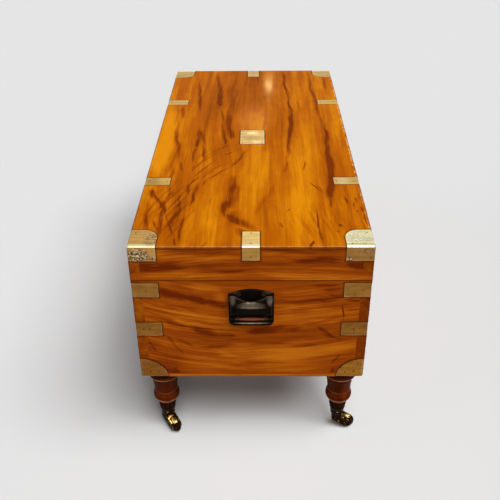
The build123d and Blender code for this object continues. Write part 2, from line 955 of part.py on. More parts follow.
def cup():
    """A tapered brass cup with a beaded rim, bored for the castor's stud."""
    bottom = crown_top + swivel_gap
    top = bottom + cup_height
    rim = foot_radius + cup_rim_proud
    outline = Polyline(
        (0, bottom),
        (cup_foot_radius - cup_foot_chamfer, bottom),
        (cup_foot_radius, bottom + cup_foot_chamfer),
        (foot_radius, top - cup_rim_height),
    ).edges()
    outline += [
        ThreePointArc(
            (foot_radius, top - cup_rim_height),
            (rim, top - cup_rim_height / 2),
            (foot_radius, top),
        )
    ]
    outline += Polyline(
        (foot_radius, top),
        (foot_radius - cup_wall, top),
        (cup_foot_radius - cup_wall, bottom + cup_floor),
        (0, bottom + cup_floor),
        (0, bottom),
    ).edges()
    bore = Cylinder(stud_radius + running_clearance, 4 * cup_floor)
    return turned(outline) - Pos(0, 0, bottom) * bore


def cup_screws(grow):
    """Two small screws through the cup's wall into the leg."""
    height = crown_top + swivel_gap + cup_height / 2
    start = foot_radius - cup_screw_set
    length = cup_screw_length + grow
    radius = cup_screw_radius + grow
    return [rod((side * start, 0, height), (-side, 0, 0), length, radius) for side in (-1, 1)]


def horn():
    """A forked horn: crown, riveted stud and two cheeks, with the axle holes."""
    inner = wheel_width / 2 + cheek_gap
    outer = inner + cheek_thickness
    neck = Pos(-horn_neck_back, crown_top - cheek_radius) * Circle(cheek_radius)
    eye = Pos(trail, wheel_radius) * Circle(cheek_radius)
    cheek_face = Plane.XZ * make_hull(neck.edges() + eye.edges())
    cheeks = Pos(0, outer, 0) * extrude(cheek_face, 2 * outer)
    slot_radius = wheel_radius + slot_clearance
    wheel_slot = rod((trail, -inner, wheel_radius), (0, 1, 0), 2 * inner, slot_radius)
    body = cheeks - wheel_slot
    body += Pos(0, 0, crown_top - crown_height / 2) * Cylinder(crown_radius, crown_height)
    stud_length = swivel_gap + cup_floor + swivel_gap
    body += rod((0, 0, crown_top), (0, 0, 1), stud_length, stud_radius)
    body += rod((0, 0, crown_top + stud_length), (0, 0, 1), stud_head_height, stud_head_radius)
    hole_start = (trail, -outer - overcut, wheel_radius)
    hole_radius = axle_radius + pin_clearance
    return body - rod(hole_start, (0, 1, 0), 2 * (outer + overcut), hole_radius)


def wheel():
    """A brass wheel with a rounded tread and a hub that clears the cheeks."""
    half = wheel_width / 2
    outline = Polyline(
        (axle_radius + running_clearance, -half - hub_proud),
        (hub_radius, -half - hub_proud),
        (hub_radius, -half),
        (wheel_radius - wheel_edge, -half),
    ).edges()
    outline += [
        ThreePointArc(
            (wheel_radius - wheel_edge, -half),
            (wheel_radius, 0),
            (wheel_radius - wheel_edge, half),
        )
    ]
    outline += Polyline(
        (wheel_radius - wheel_edge, half),
        (hub_radius, half),
        (hub_radius, half + hub_proud),
        (axle_radius + running_clearance, half + hub_proud),
        (axle_radius + running_clearance, -half - hub_proud),
    ).edges()
    return Pos(trail, 0, wheel_radius) * Rot(90, 0, 0) * turned(outline)


def axle():
    """A riveted axle with a low head outside each cheek."""
    outer = wheel_width / 2 + cheek_gap + cheek_thickness
    pin = rod((trail, -outer, wheel_radius), (0, 1, 0), 2 * outer, axle_radius)
    for side in (-1, 1):
        start = (trail, side * outer, wheel_radius)
        pin += rod(start, (0, side, 0), axle_head_height, axle_head_radius)
    return pin


# Base boards
handle_holes = handle_screws(pin_clearance)
lock_pocket = block(
    (-lock_width / 2, lock_width / 2),
    (lock_front, -inner_width + overcut),
    (base_rim - lock_height, base_rim + overcut),
)
front_cuts = [
    lock_pocket,
    escutcheon(inlay_gap) + Pos(0, -leaf, 0) * escutcheon(inlay_gap),
    keyhole((-half_width - overcut, lock_front + overcut)),
] + lock_screws(pin_clearance)
base_sides = (base_board_bottom, base_rim, base_tails, base_outline)
lid_sides = (lid_rim, lid_board_top, lid_tails, lid_outline)
base_cuts = base_recesses + base_pin_holes
parts["base_front_board"] = cut(long_board(-1, *base_sides), base_cuts + front_cuts)
parts["base_back_board"] = cut(long_board(1, *base_sides), base_cuts + base_hinge_gains + base_hinge_holes)
for side, sign_x in (("right", 1), ("left", -1)):
    holes = [mirrored(hole, sign_x, 1) for hole in handle_holes]
    parts[f"base_{side}_end_board"] = cut(end_board(sign_x, *base_sides), base_cuts + holes)
parts["base_bottom_planks"] = group(bottom_planks())

# Lid boards
lid_cuts = lid_recesses + lid_pin_holes
link_gain = block(
    (-link_length / 2 - inlay_gap, link_length / 2 + inlay_gap),
    (lock_front - inlay_gap, -inner_width + overcut),
    (lid_rim - overcut, lid_rim + link_thickness),
)
lid_front_cuts = [link_gain] + link_screws(pin_clearance)
parts["lid_front_board"] = cut(long_board(-1, *lid_sides), lid_cuts + lid_front_cuts)
parts["lid_back_board"] = cut(long_board(1, *lid_sides), lid_cuts + lid_hinge_gains + lid_hinge_holes)
for side, sign_x in (("right", 1), ("left", -1)):
    parts[f"lid_{side}_end_board"] = cut(end_board(sign_x, *lid_sides), lid_cuts)
lid_cover = lid_outline & block(
    (-half_length, half_length),
    (-half_width, half_width),
    (lid_board_top, lid_top),
)
lid_cover += block(
    (-inner_length, inner_length),
    (-inner_width, inner_width),
    (lid_board_top - top_rebate, lid_board_top),
)
parts["lid_top_board"] = cut(lid_cover, lid_cuts)

# Brass mounts
upper_straps = []
middle_straps = []
side_straps = []
for name, (sign_x, sign_y) in corner_signs.items():
    corner = lid_skin & lid_corner_region(sign_x, sign_y, 0)
    parts[f"lid_corner_{name}"] = cut(corner, lid_pin_holes)
    foot_corner = base_skin & base_corner_region(sign_x, sign_y, 0)
    parts[f"base_corner_{name}"] = cut(foot_corner, base_pin_holes)
    upper = base_skin & base_strap_region(sign_x, sign_y, upper_strap_drop, 0)
    upper_straps.append(cut(upper, base_pin_holes))
    middle = base_skin & base_strap_region(sign_x, sign_y, middle_strap_drop, 0)
    middle_straps.append(cut(middle, base_pin_holes))
    strap = lid_skin & side_strap_region(sign_x, sign_y, 0)
    side_straps.append(cut(strap, lid_pin_holes))
end_straps = [cut(lid_skin & end_strap_region(sign_x, 0), lid_pin_holes) for sign_x in (1, -1)]
centre_plate = plate_region(0) & lid_outline
parts["base_upper_straps"] = group(upper_straps)
parts["base_middle_straps"] = group(middle_straps)
parts["lid_side_straps"] = group(side_straps)
parts["lid_end_straps"] = group(end_straps)
parts["lid_centre_plate"] = cut(centre_plate, lid_pin_holes)
parts["base_brass_pins"] = group(pin_at(base_pin_places, 0))
parts["lid_brass_pins"] = group(pin_at(lid_pin_places, 0))

# Handles
for side, sign_x in (("right", 1), ("left", -1)):
    parts[f"handle_plate_{side}"] = mirrored(handle_plate(), sign_x, 1)
    parts[f"handle_bail_{side}"] = mirrored(handle_bail(), sign_x, 1)
parts["handle_screws"] = group(
    [mirrored(piece, sign_x, 1) for sign_x in (1, -1) for piece in handle_screws(0)]
)

# Hinges
base_leaves = []
lid_leaves = []
hinge_pins = []
base_leaf_screws = []
lid_leaf_screws = []
for centre in hinge_centres:
    base_leaves.append(cut(hinge_leaves(centre, False), base_hinge_holes))
    lid_leaves.append(cut(hinge_leaves(centre, True), lid_hinge_holes))
    base_leaf_screws += hinge_screw_set(centre, False, 0)
    lid_leaf_screws += hinge_screw_set(centre, True, 0)
    pin_start = centre - hinge_length / 2 + knuckle_gap / 2
    pin_span = hinge_length - knuckle_gap
    pin = rod((pin_start, hinge_axis_y, seam_middle), (1, 0, 0), pin_span, hinge_pin_radius)
    for end, way in ((pin_start, -1), (pin_start + pin_span, 1)):
        pin += rod((end, hinge_axis_y, seam_middle), (way, 0, 0), hinge_pin_head_height, hinge_pin_head)
    hinge_pins.append(pin)
parts["hinge_leaves_base"] = group(base_leaves)
parts["hinge_leaves_lid"] = group(lid_leaves)
parts["hinge_pins"] = group(hinge_pins)
parts["hinge_screws_base"] = group(base_leaf_screws)
parts["hinge_screws_lid"] = group(lid_leaf_screws)

# Lock
lock_cap = block(
    (-lock_width / 2, lock_width / 2),
    (lock_cap_face, -inner_width),
    (base_rim - lock_height, base_rim),
)
parts["lock_case"] = cut(lock_case(), lock_screws(pin_clearance))
parts["lock_cap"] = cut(lock_cap, lock_screws(pin_clearance))
parts["lock_bolt"] = lock_bolt()
parts["lock_screws"] = group(lock_screws(0))
parts["lock_escutcheon"] = escutcheon(0) - keyhole((-half_width - overcut, -half_width + leaf + overcut))
parts["lock_link_plate"] = cut(link_plate(), link_screws(pin_clearance))
parts["lock_link_screws"] = group(link_screws(0))

# Legs and castors
cups = []
cup_screw_group = []
for name, (x, y) in leg_places().items():
    place = Pos(x, y, 0)
    turn = place * Rot(0, 0, castor_turns[name])
    parts[f"leg_{name}"] = cut(place * leg(), [place * hole for hole in cup_screws(pin_clearance)])
    cups.append(place * (cup() - cup_screws(pin_clearance)))
    cup_screw_group += [place * piece for piece in cup_screws(0)]
    parts[f"castor_horn_{name}"] = turn * horn()
    parts[f"castor_wheel_{name}"] = turn * wheel()
    parts[f"castor_axle_{name}"] = turn * axle()
parts["castor_cups"] = group(cups)
parts["castor_cup_screws"] = group(cup_screw_group)

os.makedirs("parts", exist_ok=True)
for name, shape in parts.items():
    export_step(shape, f"parts/{name}.step")
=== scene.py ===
import json
import math

import bmesh
import bpy
from bpy.props import FloatProperty, FloatVectorProperty, IntProperty, PointerProperty
from mathutils import Matrix, Vector


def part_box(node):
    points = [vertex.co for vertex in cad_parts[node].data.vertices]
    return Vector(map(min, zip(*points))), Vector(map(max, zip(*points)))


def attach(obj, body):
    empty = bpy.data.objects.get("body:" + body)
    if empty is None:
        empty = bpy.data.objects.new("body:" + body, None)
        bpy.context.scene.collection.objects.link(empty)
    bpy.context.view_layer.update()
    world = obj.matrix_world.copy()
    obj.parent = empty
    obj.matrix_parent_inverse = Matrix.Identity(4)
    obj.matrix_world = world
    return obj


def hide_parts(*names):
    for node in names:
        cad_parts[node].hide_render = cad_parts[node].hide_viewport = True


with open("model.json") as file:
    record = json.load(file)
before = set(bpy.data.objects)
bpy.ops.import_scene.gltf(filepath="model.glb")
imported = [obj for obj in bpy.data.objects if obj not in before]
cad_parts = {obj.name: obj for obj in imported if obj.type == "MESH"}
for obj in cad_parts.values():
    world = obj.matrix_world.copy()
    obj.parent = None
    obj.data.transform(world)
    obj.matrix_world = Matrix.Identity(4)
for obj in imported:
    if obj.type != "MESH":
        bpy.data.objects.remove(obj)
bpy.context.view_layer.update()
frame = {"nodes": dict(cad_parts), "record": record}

bl_info = {
    "name": "Camphor wood trunk",
    "version": (1, 0, 0),
    "blender": (4, 5, 0),
    "location": "3D View > Sidebar > Trunk",
    "description": "Dresses a brass-bound camphor trunk on turned legs, part by part",
    "category": "Object",
}

CORNERS = ("front_right", "back_right", "front_left", "back_left")
# Millimetres in a metre
MM = 1000.0
# A reach so long that a mark's distance along that axis doesn't count
FAR = 10.0

# The case's own places, in metres
LID_TOP = 0.502
LID_RIM = 0.426
LID_JOINT = 0.496
SEAM = 0.42575
PLANK_JOINT = 0.191
CASE_BOTTOM = 0.182
HALF_LENGTH = 0.5
HALF_WIDTH = 0.23
BOARD = 0.02
CASE_MIDDLE = 0.3
UPPER_STRAPS = 0.40325
LEG_X = 0.458
LEG_Y = 0.188

# How finely pins and screw heads are made, and how far a pin's head is domed
PIN_SEGMENTS = 20
PIN_DOME = 0.0003
HEAD_STEPS = 12


# Settings that a user would change
def tint_setting(name, description, default):
    """A setting of a colour."""
    return FloatVectorProperty(
        name=name, description=description, default=default, subtype="COLOR", size=3, min=0.0, max=1.0
    )


def number_setting(name, description, default, low=0.0, high=1.0, **kind):
    """A setting of a number between two limits."""
    return FloatProperty(name=name, description=description, default=default, min=low, max=high, **kind)


def power_setting(name, lamp, default):
    """The setting of a lamp's strength."""
    return number_setting(name, "Strength of " + lamp, default, 0.0, 10.0)


class TrunkWoodSettings(bpy.types.PropertyGroup):
    """Colours and polish of the camphor boards and the turned legs."""

    dark: tint_setting(
        "Dark figure", "Colour of the darkest streaks in the camphor wood", (0.21, 0.034, 0.0012)
    )
    middle: tint_setting("Middle tone", "Colour of most of the camphor wood", (0.5, 0.118, 0.002))
    light: tint_setting("Golden tone", "Colour of the palest camphor wood", (0.78, 0.265, 0.004))
    leg: tint_setting("Leg wood", "Colour of the dark turned legs", (0.118, 0.0165, 0.0016))
    grain_size: number_setting(
        "Grain size", "Size of the figure, as a share of the natural one", 1.0, 0.2, 4.0
    )


class TrunkMetalSettings(bpy.types.PropertyGroup):
    """Colours of the brass mounts and of the black iron."""

    # Polished brass goes on brass that faces up on the lid and Aged brass on the drops: partly tarnish,
    # partly a painted lit and a painted shaded copy of one brass
    bright: tint_setting("Polished brass", "Colour of rubbed brass on the lid", (0.9, 0.62, 0.2))
    aged_and_shaded: tint_setting("Aged brass", "Colour of handled brass on the sides", (0.42, 0.215, 0.035))
    tarnish: tint_setting("Tarnish", "Colour of dark spots and stains on brass", (0.09, 0.045, 0.012))
    iron: tint_setting("Black iron", "Colour of the blackened handles", (0.0065, 0.0036, 0.0014))


class TrunkFittingSettings(bpy.types.PropertyGroup):
    """Fineness of the turned, cast and forged fittings."""

    segments: IntProperty(
        name="Turning segments",
        description="Divisions round each turned leg, cup and wheel",
        default=96,
        min=24,
        max=256,
    )
    casting_voxel: number_setting(
        "Casting detail", "Voxel size that the castings and forgings are softened at",
        0.0008, 0.0003, 0.003, subtype="DISTANCE", unit="LENGTH",
    )
    slot_width: number_setting(
        "Screw slot width", "Width of the slot in each screw, as a share of its head", 0.2, 0.05, 0.5
    )
    slot_depth: number_setting(
        "Screw slot depth", "Depth of the slot in each screw, as a share of its head", 0.25, 0.05, 0.6
    )


class TrunkStageSettings(bpy.types.PropertyGroup):
    """The pale floor, the sky and the lamps."""

    floor_tone: number_setting(
        "Floor tone", "How pale the studio floor and backdrop are", 0.767, subtype="FACTOR"
    )
    bounce_tone: number_setting(
        "Floor bounce", "How much light the floor gives back to the trunk", 0.13, subtype="FACTOR"
    )
    sky: number_setting("Sky light", "Even light from all round", 0.02, 0.0, 2.0)
    key_power: power_setting("Side softbox", "the large lamp over the trunk's right side", 1.46)
    fill_power: power_setting("End softbox", "the large lamp over the near end", 1.84)
    near_power: power_setting("Near softbox", "the low, very wide lamp in front of the near end", 0.47)
    front_power: power_setting("Front softbox", "the low, very wide lamp that lights the front", 0.4)
    glint_power: power_setting("Glints", "the small lamps that shine in the lid's polish", 1.0)


SETTINGS = {
    "trunk_wood": TrunkWoodSettings,
    "trunk_metal": TrunkMetalSettings,
    "trunk_fittings": TrunkFittingSettings,
    "trunk_stage": TrunkStageSettings,
}

# Which body each node belongs to
BODY_OF = {
    node: body
    for body, members in frame["record"]["behaviour"]["bodies"].items()
    for node in members
}


def colour(values):
    """A colour as the four numbers that a colour socket takes."""
    return (*values, 1.0)


def scaled(values, *shares):
    """A colour times one share, or times three, kept within one."""
    return [min(value * share, 1.0) for value, share in zip(values, shares * (3 // len(shares)))]


# Shader nodes
class Bench:
    """Lays out the nodes of one tree and joins them."""

    def __init__(self, tree):
        self.tree = tree

    def put(self, kind, feeds=None, **settings):
        """A new node with its settings and whatever feeds its sockets."""
        made = self.tree.nodes.new(kind)
        for name, value in settings.items():
            setattr(made, name, value)
        for key, value in (feeds or {}).items():
            self.feed(made.inputs[key], value)
        return made

    def feed(self, socket, value):
        """Joins a socket to another, or gives it a value of its own."""
        if isinstance(value, bpy.types.NodeSocket):
            self.tree.links.new(value, socket)
        else:
            socket.default_value = value

    def maths(self, operation, total, *others):
        """One sum on numbers, carried on from each to the next."""
        for value in others or (0.0,):
            total = self.put("ShaderNodeMath", {0: total, 1: value}, operation=operation).outputs[0]
        return total

    # Short names for the sums used most
    def plus(self, *values):
        return self.maths("ADD", *values)

    def less(self, *values):
        return self.maths("SUBTRACT", *values)

    def times(self, *values):
        return self.maths("MULTIPLY", *values)

    def most(self, *values):
        return self.maths("MAXIMUM", *values)

    def least(self, *values):
        return self.maths("MINIMUM", *values)

    def unsigned(self, value):
        return self.maths("ABSOLUTE", value)

    def vector(self, operation, first, second=(0.0, 0.0, 0.0)):
        """One sum on vectors."""
        made = self.put("ShaderNodeVectorMath", {0: first, 1: second}, operation=operation)
        return made.outputs["Value" if operation in ("LENGTH", "DOT_PRODUCT") else "Vector"]

    def grown(self, vector, scale):
        """A vector times a number."""
        return self.put("ShaderNodeVectorMath", {0: vector, "Scale": scale}, operation="SCALE").outputs[0]

    def parts(self, vector):
        """The three numbers in a vector."""
        return self.put("ShaderNodeSeparateXYZ", {0: vector}).outputs

    def join(self, x, y, z):
        """A vector from three numbers."""
        return self.put("ShaderNodeCombineXYZ", {0: x, 1: y, 2: z}).outputs[0]

    def blend(self, factor, first, second, kind="MIX"):
        """A mix of two colours."""
        made = self.put("ShaderNodeMix", data_type="RGBA", blend_type=kind, clamp_factor=True)
        for socket, value in ((0, factor), (6, first), (7, second)):
            self.feed(made.inputs[socket], value)
        return made.outputs[2]

    def between(self, factor, first, second):
        """A mix of two numbers."""
        return self.put("ShaderNodeMix", {0: factor, 2: first, 3: second}, data_type="FLOAT").outputs[0]

    def noise(self, place, scale, detail=2.0, roughness=0.5, distortion=0.0, channel="Fac"):
        """A smooth noise between nought and one."""
        names = ("Vector", "Scale", "Detail", "Roughness", "Distortion")
        feeds = dict(zip(names, (place, scale, detail, roughness, distortion)))
        return self.put("ShaderNodeTexNoise", feeds).outputs[channel]

    def stretched(self, place, scale, *settings):
        """Noise whose size differs along each axis."""
        return self.noise(self.vector("MULTIPLY", place, scale), 1.0, *settings)

    def span(self, value, low, high, first=0.0, last=1.0):
        """A smooth change from one number to another as a value crosses a span."""
        feeds = {"Value": value, "From Min": low, "From Max": high, "To Min": first, "To Max": last}
        return self.put("ShaderNodeMapRange", feeds, interpolation_type="SMOOTHSTEP").outputs["Result"]

    def ramp(self, value, *stops):
        """Colours read along a ramp."""
        made = self.put("ShaderNodeValToRGB", {0: value})
        line = made.color_ramp
        while len(line.elements) < len(stops):
            line.elements.new(0.5)
        for element, (place, tint) in zip(line.elements, stops):
            element.position = place
            element.color = colour(tint)
        return made.outputs["Color"]

    def shade(self, tint, share):
        """A colour times a number."""
        return self.blend(1.0, tint, self.join(share, share, share), "MULTIPLY")

    def spots(self, place, spots, core, *masks):
        """The strongest of some placed patches and other masks, each patch with its own strength."""
        for centre, reach, strength in spots:
            mask = patch(self, Place=place, Centre=centre, Reach=reach, Core=core)["Mask"]
            masks += (self.times(mask, strength),)
        return self.most(*masks)


def effect(name, outputs, **inputs):
    """Makes a layout of nodes into a named group, built once and placed each time with its own values."""

    def built(layout):
        tree = bpy.data.node_groups.new(name, "ShaderNodeTree")
        for label, default in inputs.items():
            kind = "NodeSocketVector" if isinstance(default, tuple) else "NodeSocketFloat"
            tree.interface.new_socket(label, in_out="INPUT", socket_type=kind).default_value = default
        for label in outputs:
            tree.interface.new_socket(label, in_out="OUTPUT", socket_type="NodeSocketFloat")
        bench = Bench(tree)
        results = layout(bench, bench.put("NodeGroupInput").outputs)
        bench.put("NodeGroupOutput", results)
        return tree

    def wrap(layout):
        def placed(bench, **feeds):
            tree = bpy.data.node_groups.get(name) or built(layout)
            return bench.put("ShaderNodeGroup", feeds, node_tree=tree).outputs

        return placed

    return wrap


ORIGIN = (0.0, 0.0, 0.0)
HALVES = (0.5, 0.5, 0.5)


@effect(
    "Camphor grain", ("Figure", "Ribbons", "Threads", "Mottle", "Fibres", "Pores"),
    Place=ORIGIN, Shift=ORIGIN, Wander=0.03,
)
def camphor_grain(bench, entry):
    """Figure, ribbons, mottle and fine fibres, with the grain along the first axis."""
    place = bench.vector("ADD", entry["Place"], entry["Shift"])
    spread = bench.vector("MULTIPLY", place, (2.2, 6.0, 6.0))
    wander = bench.vector("SUBTRACT", bench.noise(spread, 1.0, channel="Color"), HALVES)
    wander = bench.vector("MULTIPLY", wander, (0.0, 1.0, 1.0))
    bent = bench.vector("ADD", place, bench.grown(wander, entry["Wander"]))
    pores = bench.stretched(bent, (60.0, 1150.0, 1150.0), 1.0)
    return {
        "Figure": bench.stretched(bent, (1.7, 17.0, 17.0), 4.0, 0.56, 0.5),
        "Ribbons": bench.stretched(bent, (2.4, 62.0, 62.0), 4.0, 0.62, 0.4),
        "Threads": bench.stretched(bent, (5.0, 210.0, 210.0), 3.0, 0.62, 0.3),
        "Mottle": bench.stretched(place, (24.0, 30.0, 30.0), 3.0, 0.6),
        "Fibres": bench.stretched(bent, (16.0, 620.0, 620.0), 2.0),
        "Pores": bench.span(pores, 0.62, 0.72),
    }


@effect(
    "Placed streak", ("Mask",),
    Place=ORIGIN, Start=ORIGIN, End=(1.0, 0.0, 0.0), Bow=0.0, Width=0.005, Fade=0.15,
)
def streak(bench, entry):
    """A soft line between two points on a plane, bowed in its middle and thinned at its ends."""
    run, side, _ = bench.parts(entry["Place"])
    start = bench.parts(entry["Start"])
    end = bench.parts(entry["End"])
    share = bench.maths("DIVIDE", bench.less(run, start[0]), bench.less(end[0], start[0]))
    left = bench.less(1.0, share)
    bow = bench.times(share, left, entry["Bow"], 4.0)
    line = bench.plus(bench.between(share, start[1], end[1]), bow)
    gap = bench.unsigned(bench.less(side, line))
    ends = bench.span(bench.least(share, left), 0.0, entry["Fade"])
    reach = bench.times(entry["Width"], bench.between(ends, 0.45, 1.0))
    near = bench.span(bench.maths("DIVIDE", gap, reach), 0.0, 1.0, 1.0, 0.0)
    return {"Mask": bench.times(bench.maths("POWER", near, 1.4), ends)}


@effect("Placed patch", ("Mask",), Place=ORIGIN, Centre=ORIGIN, Reach=(0.1, 0.1, 10.0), Core=0.1)
def patch(bench, entry):
    """A soft oval patch."""
    away = bench.vector("SUBTRACT", entry["Place"], entry["Centre"])
    distance = bench.vector("LENGTH", bench.vector("DIVIDE", away, entry["Reach"]))
    return {"Mask": bench.span(distance, entry["Core"], 1.0, 1.0, 0.0)}


@effect(
    "Inlay shade", ("Mask", "Rim"),
    Place=ORIGIN, Centre=ORIGIN, Half=(0.1, 0.1, 0.1), Round=0.0, Width=0.003,
)
def inlay_shade(bench, entry):
    """How near a point is to a let-in leaf's edge, outside and inside, for a box with rounded corners."""
    away = bench.vector("ABSOLUTE", bench.vector("SUBTRACT", entry["Place"], entry["Centre"]))
    first, second, third = bench.parts(bench.vector("SUBTRACT", away, entry["Half"]))
    first = bench.plus(first, entry["Round"])
    second = bench.plus(second, entry["Round"])
    outer = bench.vector("LENGTH", bench.join(bench.most(first, 0.0), bench.most(second, 0.0), 0.0))
    inner = bench.least(bench.most(first, second), 0.0)
    gap = bench.most(bench.less(bench.plus(outer, inner), entry["Round"]), third)
    depth = bench.times(entry["Width"], -1.0)
    rim = bench.span(gap, depth, bench.times(depth, 0.3))
    within = bench.maths("LESS_THAN", gap, 0.0004)
    return {"Mask": bench.span(gap, 0.0, entry["Width"], 1.0, 0.0), "Rim": bench.times(rim, within)}


@effect("Arris wear", ("Mask",), Place=ORIGIN, Width=0.003)
def arris_wear_and_sheen(bench, entry):
    """How near a point is to an outer edge of the case, from its distance to two faces; the arrises are
    painted pale along it, partly scuffing and partly a painted highlight.
    """
    away = bench.vector("ABSOLUTE", entry["Place"])
    end, side, _ = bench.parts(bench.vector("SUBTRACT", (HALF_LENGTH, HALF_WIDTH, 0.0), away))
    height = bench.parts(entry["Place"])[2]
    flat = bench.least(bench.less(LID_TOP, height), bench.less(height, CASE_BOTTOM))
    middle = bench.most(bench.least(end, side), bench.least(bench.most(end, side), flat))
    rough = bench.span(bench.noise(entry["Place"], 90.0, 3.0), 0.3, 0.7, 0.5, 1.5)
    return {"Mask": bench.span(middle, 0.0, bench.times(entry["Width"], rough), 1.0, 0.0)}


@effect("Side edge", ("Line", "Rubbed"), Place=ORIGIN, Facing=(0.0, 0.0, 1.0))
def side_edge(bench, entry):
    """A dark line along the case's long outer edges, and the surface just inside it, scuffed pale with a
    painted highlight that is stronger towards +y.
    """
    _, y, z = bench.parts(entry["Place"])
    gap = bench.less(HALF_WIDTH, bench.unsigned(y))
    turned = bench.less(1.0, bench.unsigned(bench.parts(entry["Facing"])[1]))
    # Scuffed pale and a painted highlight just inside the long top edges, stronger towards +y, the lit side
    rubbed_and_lit = bench.times(
        bench.span(gap, 0.0040, 0.0066, 1.0, 0.0),
        turned,
        bench.span(bench.noise(entry["Place"], 46.0, 3.0), 0.44, 0.6),
        bench.maths("GREATER_THAN", z, LID_JOINT),
        bench.span(y, -0.1, 0.2, 0.35, 1.0),
    )
    return {"Line": bench.times(bench.span(gap, 0.0014, 0.0032, 1.0, 0.0), turned), "Rubbed": rubbed_and_lit}


@effect("Brass tarnish", ("Clouds", "Spots", "Scratches", "Waves"), Place=ORIGIN, Amount=0.3)
def tarnish(bench, entry):
    """Clouds, spots, scratches and slow waves on brass."""
    place, amount = entry["Place"], entry["Amount"]
    clouds = bench.noise(place, 38.0, 5.0, 0.62, 0.4)
    spots = bench.noise(bench.vector("ADD", place, (3.1, 1.7, 0.4)), 330.0, 3.0, 0.6)
    cloud_low = bench.less(0.72, bench.times(amount, 0.5))
    spot_low = bench.less(0.8, bench.times(amount, 0.22))
    along = bench.stretched(place, (140.0, 1500.0, 700.0), 2.0, 0.6, 1.2)
    crossed = bench.stretched(place, (1300.0, 160.0, 420.0), 2.0, 0.6, 1.4)
    return {
        "Clouds": bench.span(clouds, cloud_low, bench.plus(cloud_low, 0.28)),
        "Spots": bench.span(spots, spot_low, bench.plus(spot_low, 0.06)),
        "Scratches": bench.times(bench.plus(along, crossed), 0.5),
        "Waves": bench.noise(place, 26.0, 2.0, 0.5),
    }


def blank_material(name):
    """An empty material and a bench on its tree."""
    made = bpy.data.materials.new(name)
    made.use_nodes = True
    made.node_tree.nodes.clear()
    return made, Bench(made.node_tree)


def new_material(name):
    """A material, a bench on its tree, its Principled shader, and the point and way that it faces."""
    made, bench = blank_material(name)
    shader = bench.put("ShaderNodeBsdfPrincipled")
    bench.put("ShaderNodeOutputMaterial", {"Surface": shader.outputs[0]})
    here = bench.put("ShaderNodeTexCoord").outputs
    return made, bench, shader, here["Object"], here["Normal"]


def finish_surface(bench, shader, feeds, height, strength, distance):
    """Feeds the shader its colour and gloss, and a relief from a height."""
    bump = bench.put("ShaderNodeBump", {"Height": height, "Strength": strength, "Distance": distance})
    for name, value in feeds.items():
        bench.feed(shader.inputs[name], value)
    bench.feed(shader.inputs["Normal"], bump.outputs[0])


def along_grain(bench, vector, axis):
    """A vector turned so that the grain's axis comes first."""
    x, y, z = bench.parts(vector)
    order = {"X": (x, y, z), "Y": (y, x, z), "Z": (z, x, y)}[axis]
    return bench.join(*order)


# Brass leaves let into the boards: node, order of the axes, centre, half size, rounding, in |x|, |y|, z
LEAVES = (
    ("lid_corner", "xyz", (0.5, 0.23, 0.502), (0.06, 0.053, 0.032), 0.028),
    ("lid_side_straps", "xyz", (0.235, 0.23, 0.502), (0.01625, 0.054, 0.031), 0.0),
    ("lid_end_straps", "xyz", (0.5, 0.0, 0.502), (0.054, 0.01625, 0.031), 0.0),
    ("lid_centre_plate", "xyz", (0.0, 0.0, 0.502), (0.0415, 0.029, 0.003), 0.0035),
    ("base_upper_straps", "xyz", (0.5, 0.23, 0.40325), (0.052, 0.052, 0.01625), 0.0),
    ("base_middle_straps", "xyz", (0.5, 0.23, 0.30875), (0.052, 0.052, 0.01625), 0.0),
    ("base_corner", "yzx", (0.23, 0.182, 0.5), (0.056, 0.0485, 0.004), 0.0485),
    ("base_corner", "xzy", (0.5, 0.182, 0.23), (0.056, 0.0485, 0.004), 0.0485),
)


def leaf_edges(bench, place, width, layer, name=""):
    """How near a point is to the edges of all the brass leaves, or of one node's own."""
    x, y, z = bench.parts(bench.vector("ABSOLUTE", place))
    turned = {"xyz": bench.join(x, y, z), "yzx": bench.join(y, z, x), "xzy": bench.join(x, z, y)}
    total = 0.0
    for leaf, order, centre, half, rounding in LEAVES:
        if name and not name.startswith(leaf):
            continue
        leaf = {"Place": turned[order], "Centre": centre, "Half": half, "Round": rounding, "Width": width}
        total = bench.most(total, inlay_shade(bench, **leaf)[layer])
    return total


def sagged(bench, grain_place, sag):
    """A place whose grain lines dip in the middle, by a share of the distance squared on each side."""
    run, across, height = bench.parts(grain_place)
    share = bench.between(bench.maths("GREATER_THAN", run, 0.0), *sag)
    return bench.join(run, across, bench.less(height, bench.times(run, run, share)))


# Dirt and painted shade round the brass and in the joints, bare wood inside, scuffed edges with painted
# highlights, and a dark line along the long edges
DIRT_AND_SHADE = (0.06, 0.014, 0.003, 1.0)
BARE_WOOD = (0.52, 0.27, 0.1, 1.0)
# Pale colour of the scuffed arrises and their painted highlight
WORN_ARRIS_SHEEN = (0.62, 0.33, 0.17, 1.0)
# Golden colour of the scuffing and painted highlight just inside the long top edges
WORN_EDGE_HIGHLIGHT = (0.86, 0.47, 0.17, 1.0)
# Dark line along the long edges
EDGE_DARK_LINE = (0.055, 0.022, 0.006, 1.0)
# Dark joints between the boards, with painted shade in their gaps: height and reach
JOINTS = ((SEAM, 0.002), (LID_JOINT, 0.0011), (PLANK_JOINT, 0.0007))


